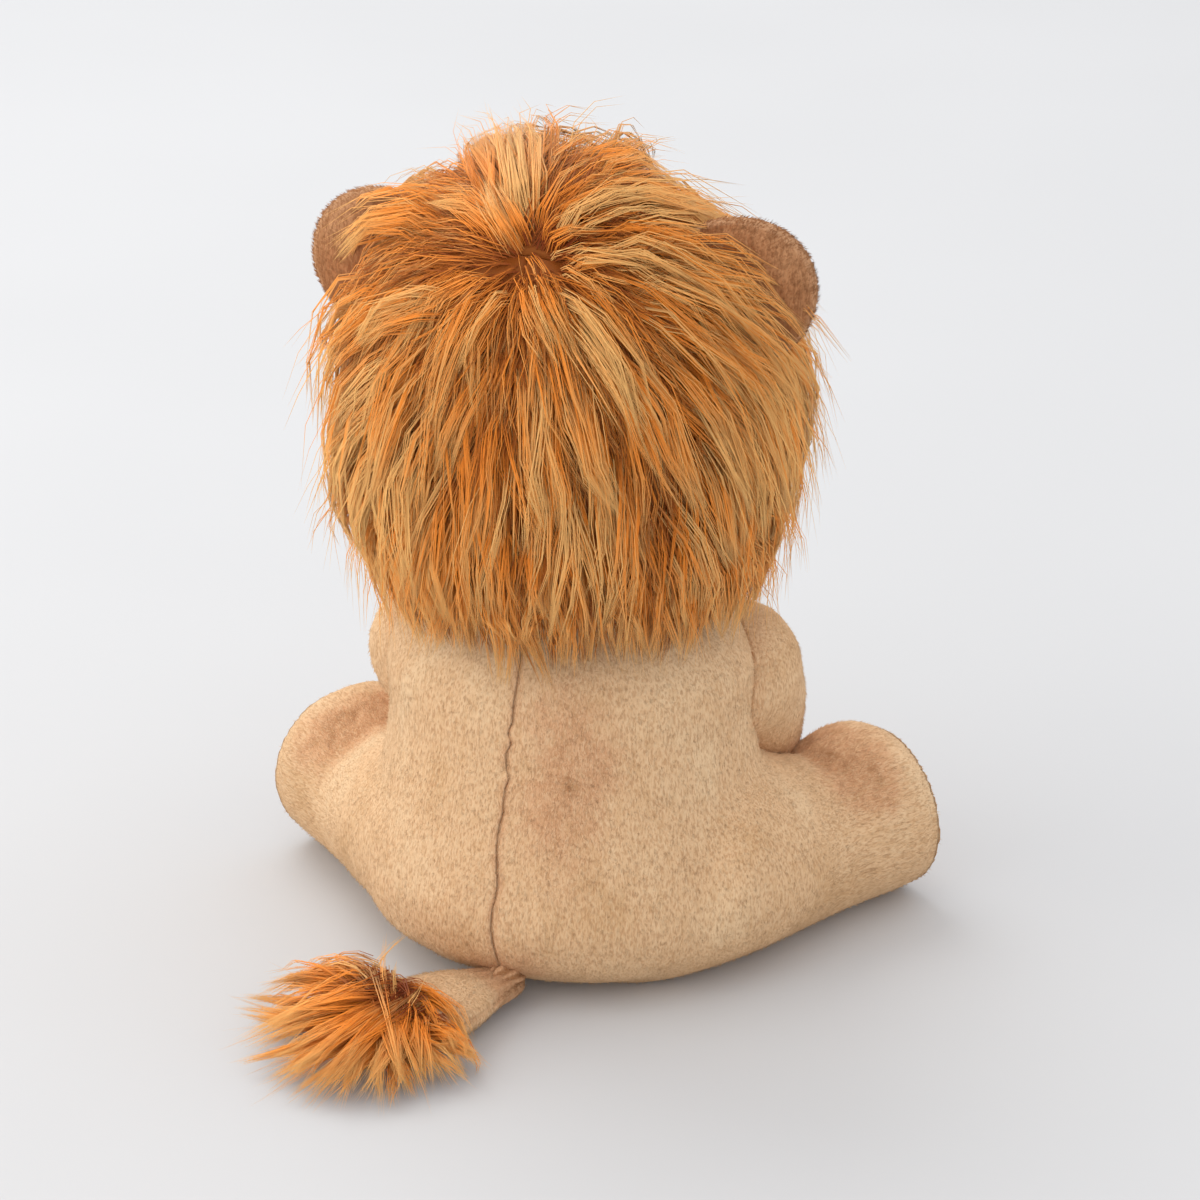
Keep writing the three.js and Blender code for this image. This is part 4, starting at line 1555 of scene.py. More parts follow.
    def reach(self, roots: Array, rng: np.random.Generator, tops: tuple) -> Array:
        """The levels that the tips of locks get to: all levels round the face, to cover the front."""
        ring = self.ring(roots) > 0.5
        return np.where(ring, rng.uniform(0.62, 1.04, len(roots)), rng.uniform(*tops, len(roots)))

    def room(self, roots: Array) -> Array:
        """The longest that a hair from each root may be: the hem is trimmed, so low hairs are short."""
        return np.hypot(np.maximum(roots[:, 2] - self.hem_tip, 4.0), 30.0)

    def roots(self, count: int, rng: np.random.Generator) -> Array:
        """Even random points on the head where fur grows.

        Args:
            count: How many.
            rng: The draws.

        Returns:
            The points.
        """
        half = np.array(self.head_half)
        kept = np.empty((0, 3))
        while len(kept) < count:
            way = unit(rng.normal(size=(count * 3, 3)))
            points = np.array(self.head_centre) + way * half * 1.02
            share = np.linalg.norm(way / half, axis=1) * min(half)
            from_whorl = np.linalg.norm(self.from_whorl(points), axis=1)
            share *= 0.17 + 0.6 * bell(from_whorl, 0.0, 18.0) + 0.23 * bell(from_whorl, 0.0, 44.0)
            share += 0.6 * self.ring(points) + 0.05 * ramp(245.0, 256.0, points[:, 2])
            in_front = points[:, 1] < self.opening_back
            low = points[:, 2] <= np.where(in_front, self.chin_root, self.hem_root)
            furry = ~low & ~(in_front & (self.in_face(points) < 1.0))
            kept = np.concatenate([kept, points[furry & (rng.random(len(points)) < share)]])
        return kept[:count]


@dataclass
class FurCoat:
    """Long fur in locks.

    A lock gathers wisps, and a wisp gathers a few hairs. Each one is combed over the shape by itself
    and then drawn towards its lock, so that locks taper to a tip.

    Attributes:
        shape: What the fur lies over.
        locks: How many locks.
        wisps: How many wisps.
        hairs: Hairs in a wisp.
        steps: Stretches that a hair is combed in.
        kept: The points between them that the hair keeps.
        length: The pile's length.
        tops: The least and the greatest level that the tips of locks get to.
        wave: How far locks wander sideways.
        gather: How far the tips of wisps are drawn to their lock, at least and at most.
        loose: How many wisps aren't, as a share.
        fly: How many hairs stand out, as a share.
        lift: How far out they stand.
        flat: Whether hairs keep their whole length along the coat.
        seed: The seed of the draws.
    """

    shape: ManeShape
    locks: int = 700
    wisps: int = 7350
    hairs: int = 6
    steps: int = 8
    kept: tuple = (0, 2, 4, 6, 8)
    length: float = 70.0
    tops: tuple = (0.9, 1.05)
    wave: float = 0.36
    gather: tuple = (0.68, 0.97)
    loose: float = 0.06
    fly: float = 0.08
    lift: float = 15.0
    flat: bool = False
    seed: int = Seed.MANE

    def comb(self, roots: Array, lengths: Array, top: Array, stir: Array) -> Array:
        """Comb hairs over the shape.

        Args:
            roots: Where they grow.
            lengths: How long each one is.
            top: The level that each one's tip reaches.
            stir: A wandering sideways, as a share of the way, for each step and hair.

        Returns:
            Their points, as hairs by points by 3.
        """
        place, start = roots, self.shape.level(roots)
        path = [place]
        for step in range(1, self.steps + 1):
            share = step / self.steps
            normal = self.shape.normal(place)
            way = self.shape.flow(place, normal)
            aside = np.cross(normal, way)
            way = unit(way + aside * (stir[step - 1] * self.shape.stand(place))[:, None])
            level = start + (top * self.shape.trim(place) - start) * (1 - (1 - share) ** 2.6)
            risen = self.shape.at_level(place, level)
            rise = np.linalg.norm(risen - place, axis=1)
            along = np.sqrt(np.maximum((lengths / self.steps) ** 2 - rise**2, 0.0))
            if not self.flat:
                along = along * self.shape.stand(place)
            place = self.shape.at_level(risen + way * along[:, None], level)
            path.append(place)
        return np.stack(path, axis=1)

    def waves(self, count: int, rng: np.random.Generator, size: float, turns: tuple) -> Array:
        """Sideways wandering for each step: a slow wave with a start of its own for each hair."""
        phase = rng.random(count) * FULL_TURN
        pace = rng.uniform(*turns, size=count) * FULL_TURN
        share = np.arange(1, self.steps + 1)[:, None] / self.steps
        return size * np.sin(phase + pace * share) + 0.35 * size * rng.normal(size=count)

    def grow(self) -> dict[str, Array]:
        """Grow the coat.

        Returns:
            Hairs, their tones, their roots, and the way out at each point, all on the straight head.
        """
        rng = np.random.default_rng(self.seed)
        lock_roots = self.shape.roots(self.locks, rng)
        lock_top = self.shape.reach(lock_roots, rng, self.tops)
        lock_length = self.length * rng.uniform(0.78, 1.12, self.locks)
        room = self.shape.room(lock_roots) + rng.uniform(-15.0, 13.0, self.locks)
        lock_length = np.minimum(lock_length, room)
        stir = self.waves(self.locks, rng, self.wave, (0.5, 1.1))
        lock_path = self.comb(lock_roots, lock_length, lock_top, stir)
        lock_tone = rng.random(self.locks)
        wisp_roots = self.shape.roots(self.wisps, rng)
        owner = np.concatenate([
            np.argmin(np.linalg.norm(some[:, None] - lock_roots, axis=2), axis=1)
            for some in np.array_split(wisp_roots, 4)
        ])
        wisp_length = lock_length[owner] * rng.uniform(0.72, 1.08, self.wisps)
        wisp_length = np.minimum(wisp_length, self.shape.room(wisp_roots) + 9.0)
        wisp_top = lock_top[owner] + rng.normal(0, 0.035, self.wisps)
        stir = self.waves(self.wisps, rng, 0.7 * self.wave, (0.6, 1.6))
        wisp_path = self.comb(wisp_roots, wisp_length, wisp_top, stir)
        share = np.linspace(0, 1, self.steps + 1)
        draw = rng.uniform(*self.gather, self.wisps)[:, None] * share**1.25
        loose = rng.random(self.wisps) < self.loose
        draw[loose] *= 0.25
        target = lock_path[owner] + 1.4 * rng.normal(size=(self.wisps, 1, 3))
        wisp_path = wisp_path * (1 - draw[..., None]) + target * draw[..., None]
        index = np.repeat(np.arange(self.wisps), self.hairs)
        count = len(index)
        spread = rng.normal(size=(count, 3)) * 1.25
        normal = self.shape.normal(wisp_roots)[index]
        spread -= np.sum(spread * normal, axis=1, keepdims=True) * normal
        hair = wisp_path[index] + spread[:, None] * (1 - 0.84 * share)[None, :, None]
        curl = rng.normal(size=(count, 3))
        phase = rng.random(count)[:, None] * FULL_TURN
        bend = np.sin(phase + share * rng.uniform(3.0, 9.0, count)[:, None])
        hair = hair + curl[:, None] * (bend * 0.3 * share**0.7)[..., None]
        fly = rng.random(count) < self.fly
        lift = (share**2)[None, :, None] * rng.uniform(0.2, 1.0, (count, 1, 1)) * self.lift
        hair[fly] += (lift * normal[:, None])[fly]
        lock = owner[index]
        tone = 0.4 * lock_tone[lock] + 0.22 * rng.random(self.wisps)[index] + 0.25 * rng.random(count) + 0.12
        # Painted shade by depth: locks whose tips stay further in are darker, those further out lighter.
        tone += 2.4 * (lock_top[lock] - np.mean(self.tops))
        # Painted shade in the gaps between locks: wisps far from their lock's middle are darker.
        off_middle = np.linalg.norm(wisp_roots - lock_roots[owner], axis=1)
        tone += 0.31 - 0.5 * (off_middle / np.quantile(off_middle, 0.95))[index]
        roots = wisp_roots[index]
        # Painted light: hairs towards the sides are lighter, most on the lion's left, which faces the key
        # light.
        tone += 0.2 * ramp(6.0, 58.0, roots[:, 0]) + 0.07 * ramp(-16.0, -52.0, roots[:, 0])
        hair = hair[:, list(self.kept)]
        tone = np.clip(tone, 0, 1)
        return {"hairs": hair, "tone": tone, "roots": roots, "normal": self.shape.normal(hair)}


@dataclass
class Mane:
    """The mane in the panels that it is sewn from.

    Attributes:
        shape: The mane's outside.
        head: Where the head sits.
        crown_seam: The height of the crown's seam over the middle of the head.
        crown_tilt: How it rises to the back, in degrees.
        ruff_back: How far in front of the middle the ruffs end.
        hair_width: The half width of the locks' hairs.
        pile_level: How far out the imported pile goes.
        under_wisps: How many wisps of undercoat grow all over it.
        whorl_wisps: How many more are tried round the whorl.
        under_hairs: The hairs in such a wisp.
        panels: The names of the panels.
    """

    shape: ManeShape = field(default_factory=ManeShape)
    head: HeadFrame = field(default_factory=HeadFrame)
    crown_seam: float = 246.0
    crown_tilt: float = 27.0
    ruff_back: float = 15.0
    hair_width: float = 0.22
    pile_level: float = 0.86
    under_wisps: int = 2100
    tries: int = 6000
    whorl_wisps: int = 1300
    under_hairs: int = 4
    panels: tuple = ("mane_crown", "mane_back_left", "mane_back_right", "mane_ruff_left", "mane_ruff_right")

    def panel_of(self, points: Array) -> Array:
        """Which panel each root is on: crown, back left, back right, ruff left, ruff right."""
        x, y, z = points.T
        on_crown = z > self.crown_seam + y * math.tan(math.radians(self.crown_tilt))
        on_ruff = y < -self.ruff_back
        return np.where(on_crown, 0, np.where(on_ruff, 3, 1) + (x < 0))

    def under_layer(self, node: str) -> Mesh:
        """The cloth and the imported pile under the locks: the node's own solid, drawn in."""
        shape = mesh_to_bmesh(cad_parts[node].data)
        mesh = bmesh_to_mesh(shape, node + "_pile")
        points = points_of(mesh)
        straight = HeadFrame(-self.head.turn, 0.0).place(points - [self.head.shift, 0, 0])
        level = self.shape.level(straight)
        most = self.pile_level * np.minimum(self.shape.trim(straight), 1.0)
        drawn = self.shape.at_level(straight, np.minimum(level, most))
        at_face = ramp(1.7, 1.2, self.shape.in_face(straight))
        drawn[:, 1] = np.maximum(drawn[:, 1], -70.0 + 28.0 * at_face)
        low = straight[:, 2] < 150
        drawn[low, 2] = 150 - (150 - drawn[low, 2]) * 0.25
        set_points(mesh, self.head.place(drawn))
        # Coloured near the roots' colour: painted shade deep in the mane.
        add_values(mesh, "along", 0.15)
        add_values(mesh, "tone", 0.35)
        return mesh

    def combed(
        self,
        roots: Array,
        length: tuple,
        tops: tuple,
        hairs: int,
        spread: float,
        tone: float,
        seed: int,
    ) -> dict[str, Array]:
        """A few hairs from each root, combed over the head.

        Args:
            roots: Where they grow.
            length: The least and the greatest length.
            tops: The least and the greatest level that their tips reach.
            hairs: How many grow from each root.
            spread: How far these stand apart.
            tone: Their middle tone.
            seed: The seed of the draws.

        Returns:
            The hairs, their tones, roots and ways out.
        """
        rng = np.random.default_rng(seed)
        comber = FurCoat(self.shape, flat=True)
        lengths = np.minimum(rng.uniform(*length, len(roots)), self.shape.room(roots) - 10.0)
        stir = comber.waves(len(roots), rng, 0.3, (0.5, 1.2))
        path = comber.comb(roots, lengths, rng.uniform(*tops, len(roots)), stir)[:, [0, 2, 5, 8]]
        index = np.repeat(np.arange(len(roots)), hairs)
        normal = self.shape.normal(path)[index]
        share = np.linspace(0, 1, path.shape[1])
        apart = rng.normal(size=(len(index), 3)) * spread
        grown = path[index] + apart[:, None] * (1 - 0.5 * share)[None, :, None] - 1.0 * normal
        tones = np.clip(tone + 0.15 * rng.normal(size=len(index)), 0, 1)
        return {"hairs": grown, "tone": tones, "roots": roots[index], "normal": normal}

    def under_roots(self) -> Array:
        """Where the undercoat grows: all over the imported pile, and closer round the whorl."""
        rng = np.random.default_rng(Seed.UNDERCOAT_ROOTS)
        centre = np.array(self.shape.head_centre)
        to_whorl = unit(np.array(self.shape.whorl) - centre)
        all_round = rng.normal(size=(self.tries, 3))
        way = unit(np.concatenate([all_round, to_whorl + 0.3 * rng.normal(size=(self.whorl_wisps, 3))]))
        points = centre + way * np.array(self.shape.head_half)
        in_front = points[:, 1] < self.shape.opening_back
        furry = (points[:, 2] > self.shape.chin_root + 8) & ~(in_front & (self.shape.in_face(points) < 1.3))
        roots = self.shape.at_level(points, 0.8 * self.shape.trim(points))
        spread_out = np.flatnonzero(furry[: self.tries])[: self.under_wisps]
        return roots[np.concatenate([spread_out, self.tries + np.flatnonzero(furry[self.tries :])])]

    def ear_roots(self) -> Array:
        """Where the long strands grow that fall across the right ear, in small bunches."""
        rng = np.random.default_rng(Seed.EAR_STRAND_ROOTS)
        bunch = rng.uniform([-48.0, 6.0, 236.0], [-26.0, 34.0, 262.0], (26, 3))
        points = np.repeat(bunch, 4, axis=0) + 1.6 * rng.normal(size=(104, 3))
        return self.shape.at_level(points, 0.84 * self.shape.trim(points))

    def add_locks(self, coat: dict[str, Array], label: str, width: float, most: int) -> None:
        """Add one coat of fur, panel by panel.

        Args:
            coat: The hairs on the straight head.
            label: What its pieces are called after the panel's name.
            width: The hairs' half width.
            most: How many hairs one piece may have.
        """
        panel = self.panel_of(coat["roots"])
        hairs = self.head.place(coat["hairs"])
        outward = self.head.place_vectors(coat["normal"].reshape(-1, 3)).reshape(hairs.shape)
        share = np.linspace(0, 1, hairs.shape[1])[:-1]
        widths = tapering(width, share, len(hairs), Seed.MANE_WIDTH)
        for number, name in enumerate(self.panels):
            chosen = np.flatnonzero(panel == number)
            if not len(chosen):
                continue
            for part, some in enumerate(np.array_split(chosen, math.ceil(len(chosen) / most))):
                locks = Strands(hairs[some], widths[some], outward[some], coat["tone"][some], softness=0.68)
                add_piece(locks.mesh(f"{name}_{label}_{part}"), MANE_FUR.material(), "mane_fur", "head")

    def build(self) -> None:
        """Make the pile and the locks of each panel."""
        for name in self.panels:
            add_piece(self.under_layer(name), SHADED_UNDER_FUR.material(), "mane_fur", "head", (name,))
        under = self.combed(
            self.under_roots(),
            length=(26.0, 40.0),
            tops=(0.88, 0.95),
            hairs=self.under_hairs,
            spread=1.8,
            # A low tone, close to the roots' colour: painted shade under the locks.
            tone=0.2,
            seed=Seed.UNDERCOAT,
        )
        strands = self.combed(
            self.ear_roots(),
            length=(46.0, 66.0),
            tops=(1.08, 1.26),
            hairs=5,
            spread=0.8,
            tone=0.75,
            seed=Seed.EAR_STRANDS,
        )
        self.add_locks(under, "undercoat", width=0.3, most=9000)
        self.add_locks(strands, "strands", width=0.2, most=4000)
        self.add_locks(FurCoat(self.shape).grow(), "locks", self.hair_width, most=4700)


@dataclass
class Tail:
    """The tail as it lies on the floor: a pinched root, a flat sewn tube and a tuft.

    It is made along +Y from its pivot and then turned into place.

    Attributes:
        pivot: Where the tail turns.
        angle: How far it is turned towards the lion's left, in degrees.
        stem: Distance from the pivot, half width, half thickness and height of the stem's middle.
        voxel: The size of the stem's faces.
        hair_width: The half width of the tuft's hairs.
    """

    pivot: tuple = (11.0, 58.0, 10.0)
    angle: float = 41.0
    stem: tuple = (
        (-4.5, 5.0, 3.6, -1.5), (0.0, 7.6, 4.4, -1.5), (7.0, 9.8, 5.2, -1.2), (14.0, 13.0, 6.2, -0.9),
        (21.0, 16.2, 7.8, -0.8), (28.0, 17.4, 8.8, -1.0), (38.0, 17.4, 8.8, -1.0),
        (46.0, 15.0, 7.6, -1.5), (51.0, 10.0, 5.5, -2.0),
    )
    voxel: float = 1.2
    hair_width: float = 0.22

    def place(self, points: Array) -> Array:
        """Points of the straight tail in the lion's frame."""
        return points @ turn_about_up(-self.angle) + self.pivot

    def build_root(self) -> None:
        """The gathered root, drawn tight by its stitches."""
        shape = bmesh.new()
        bmesh.ops.create_uvsphere(shape, u_segments=48, v_segments=28, radius=7.0)
        lay_flat(shape)
        mesh = bmesh_to_mesh(shape, "tail_gather")
        points = points_of(mesh)
        around = np.arctan2(points[:, 2], points[:, 0])
        noise = SoftNoise(Seed.TAIL_ROOT)
        folds = np.sin(around * 11.0 + 1.8 * noise(points, 5.0))
        points = points * (1 + 0.07 * folds[:, None] - 0.1)
        set_points(mesh, self.place(points))
        # Painted shade: the valleys between the gathered folds get the darker colours, through the wear
        # value.
        add_values(mesh, "wear", np.clip(0.8 - 0.3 * folds, 0, 1))
        add_piece(mesh, BODY_PLUSH.material(), "body_plush", "tail_root", ("tail_root",))

    def build_stem(self) -> None:
        """The flat tube, puckered where it is gathered."""
        distance = np.linspace(self.stem[0][0], self.stem[-1][0], 40)
        sizes = flowing(self.stem, distance)
        spine = np.column_stack([np.zeros_like(distance), distance, sizes[:, 2]])
        shape = bmesh.new()
        loft(shape, limb_rings(spine, sizes[:, :2], sides=44))
        mesh = remeshed(shape, self.voxel, relax=3, name="tail_cloth")
        points, normals = points_of(mesh), normals_of(mesh)
        noise = SoftNoise(Seed.TAIL)
        around = np.arctan2(points[:, 2] * 1.8, points[:, 0])
        near_root = ramp(20.0, 2.0, points[:, 1])
        pucker = near_root * 0.6 * np.sin(around * 10.0 + 1.8 * noise(points, 7.0))
        push = pucker + 0.5 * noise(points, 11.0)
        seam = bell(np.abs(around), 0.0, 0.14) + bell(np.abs(around), math.pi, 0.14)
        points = points + normals * (push - 0.7 * seam)[:, None]
        points[:, 2] = np.maximum(points[:, 2], 0.4 - self.pivot[2])
        set_points(mesh, self.place(points))
        # Darker towards the gathered root, and along the two seams.
        add_values(mesh, "wear", np.clip(0.6 * ramp(18.0, 5.0, points[:, 1]) + 0.3 * seam, 0, 1))
        lay = self.place(np.array([[0.0, 1.0, 0.0]]))[0] - np.array(self.pivot)
        nap = Nap(seed=Seed.TAIL_NAP)
        coat = nap.grow(mesh, 5200, "tail_cloth_nap", lambda at: np.broadcast_to(lay, at.shape))
        reach = (points_of(coat) - np.array(self.pivot)) @ lay
        add_values(coat, "wear", 0.6 * ramp(18.0, 5.0, reach))
        add_plush(mesh, coat, BODY_PLUSH, "tail", ("tail_stem",))

    def build_tuft(self) -> None:
        """The tuft: a packed core and locks that fall on all sides."""
        fan = TuftFan()
        core = bmesh.new()
        bmesh.ops.create_icosphere(core, subdivisions=4, radius=1.0)
        mesh = bmesh_to_mesh(core, "tail_tuft_pile")
        points = np.array(fan.core) + points_of(mesh) * np.array(fan.core_half)
        points = points + 1.2 * unit(points - fan.core) * SoftNoise(Seed.TUFT_PILE)(points, 5.0)[:, None]
        points[:, 2] = np.maximum(points[:, 2], fan.floor)
        set_points(mesh, self.place(points))
        # Coloured near the roots' colour: painted shade inside the tuft.
        add_values(mesh, "along", 0.15)
        add_values(mesh, "tone", 0.35)
        add_piece(mesh, SHADED_UNDER_FUR.material(), "mane_fur", "tail", ("tail_tuft",))
        hairs, tone = fan.grow()
        outward = unit(hairs - np.array([fan.core[0], fan.core[1], -22.0]))
        outward = self.place(outward) - self.pivot
        share = np.linspace(0, 1, hairs.shape[1])[:-1]
        widths = tapering(self.hair_width, share, len(hairs), Seed.TUFT_WIDTH)
        locks = Strands(self.place(hairs), widths, outward, tone, softness=0.5)
        add_piece(locks.mesh("tail_tuft_locks"), MANE_FUR.material(), "mane_fur", "tail")

    def build(self) -> None:
        """Make the whole tail."""
        self.build_root()
        self.build_stem()
        self.build_tuft()


@dataclass
class TuftFan:
    """The locks of the tail's tuft, on the straight tail: a fan that falls to the floor.

    Attributes:
        core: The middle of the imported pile.
        core_half: Its half sizes.
        centre: Where the fan spreads from.
        reach: For each angle from the tail's line, towards its right, how far the tips get.
        floor: The height that no hair goes under.
        fly: Where the few longest strays end.
        limit: How far the tips may get towards the back of the lion.
        backwards: That way, on the straight tail.
        locks: How many locks.
        wisps: Wisps in a lock.
        hairs: Hairs in a wisp.
    """

    core: tuple = (0.0, 55.0, -3.0)
    core_half: tuple = (15.0, 13.5, 10.5)
    centre: tuple = (0.0, 50.0, 0.0)
    reach: tuple = (
        (-112.0, 38.0), (-75.0, 57.0), (-45.0, 49.0), (0.0, 49.0), (53.0, 42.0), (100.0, 40.0),
        (128.0, 42.0),
    )
    floor: float = -9.4
    fly: tuple = ((4.0, 41.0, 31.0), (-5.0, 45.0, 25.0), (22.0, 36.0, 24.0), (-14.0, 40.0, 16.0))
    limit: float = 83.5
    backwards: tuple = (-0.656, 0.755, 0.0)
    locks: int = 58
    wisps: int = 13
    hairs: int = 6

    def stems(self, rng: np.random.Generator) -> tuple[Array, Array, Array]:
        """Root, bend and tip of each lock."""
        table = np.array(self.reach)
        even = (np.arange(self.locks) * 0.618) % 1.0
        degrees = table[0, 0] + (table[-1, 0] - table[0, 0]) * even
        reach = np.interp(degrees, table[:, 0], table[:, 1]) * rng.uniform(0.72, 1.08, self.locks)
        angle = np.radians(degrees)
        way = np.column_stack([-np.sin(angle), np.cos(angle), np.zeros(self.locks)])
        height = rng.uniform(-5.0, 9.5, self.locks)
        root = np.array(self.centre) + way * rng.uniform(0.0, 8.0, (self.locks, 1)) + height[:, None] * UP
        root[:, 1] = np.maximum(root[:, 1], 44.0)
        high = height > 0.0
        root[high, 0] = 0.5 * root[high, 0] + rng.uniform(-11.0, 11.0, np.count_nonzero(high))
        root[high, 1] = rng.uniform(42.0, 47.0, np.count_nonzero(high))
        bend = root + way * (0.42 * reach)[:, None] + rng.uniform(0.0, 9.0, (self.locks, 1)) * UP
        bend += 3.0 * rng.normal(size=bend.shape) * [1.0, 1.0, 0.3]
        tip = np.array(self.centre) + way * reach[:, None]
        tip[:, 2] = self.floor + rng.uniform(0.8, 6.0, self.locks) + 7.0 * (rng.random(self.locks) < 0.2)
        return root, bend, tip

    def grow(self) -> tuple[Array, Array]:
        """The hairs and their tones."""
        rng = np.random.default_rng(Seed.TUFT)
        root, bend, tip = self.stems(rng)
        fly = np.array(self.fly)
        start = np.array(self.centre) + [0.0, -4.0, 4.0] + fly * [0.6, 0.0, 0.0]
        root = np.concatenate([root, start])
        bend = np.concatenate([bend, 0.5 * (start + fly) + [0.0, 4.0, 3.0]])
        tip = np.concatenate([tip, fly])
        in_locks = np.repeat(np.arange(self.locks), self.wisps)
        owner = np.concatenate([in_locks, self.locks + np.arange(len(fly))])
        count = len(owner)
        wide = np.where(rng.random(count) < 0.12, 2.2, 1.0)[:, None]
        root = root[owner] + 2.7 * rng.normal(size=(count, 3))
        bend = bend[owner] + 2.3 * wide * rng.normal(size=(count, 3))
        tip = tip[owner] + 1.3 * wide**2 * rng.normal(size=(count, 3)) * [1.0, 1.0, 0.7]
        over = np.maximum(tip @ np.array(self.backwards) - self.limit, 0.0)
        tip = tip - over[:, None] * np.array(self.backwards)
        index = np.repeat(np.arange(count), self.hairs)
        number = len(index)
        share = np.array([0.0, 0.2, 0.42, 0.7, 1.0])[None, :, None]
        share = share * rng.uniform(0.78, 1.02, (number, 1, 1))
        looseness = ((root, 1.2), (bend, 0.9), (tip, 0.35))
        ends = [at[index] + size * rng.normal(size=(number, 3)) for at, size in looseness]
        first, middle, last = (at[:, None] for at in ends)
        hairs = first * (1 - share) ** 2 + 2 * middle * share * (1 - share) + last * share**2
        turn = rng.random(count)[index, None] * FULL_TURN
        sway = np.sin(turn + share[..., 0] * rng.uniform(2.0, 6.0, count)[index, None]) * share[..., 0]
        aside = unit(np.cross(last[:, 0] - first[:, 0], UP))
        hairs = hairs + 1.6 * sway[..., None] * aside[:, None]
        hairs[..., 2] = np.maximum(hairs[..., 2], self.floor + 0.6 * share[..., 0])
        tone = 0.4 * rng.random(self.locks + len(fly))[owner[index]] + 0.2 * rng.random(count)[index]
        tone += 0.25 * rng.random(number) + np.where(owner[index] < self.locks, 0.12, 0.5)
        return hairs, np.clip(tone, 0, 1)


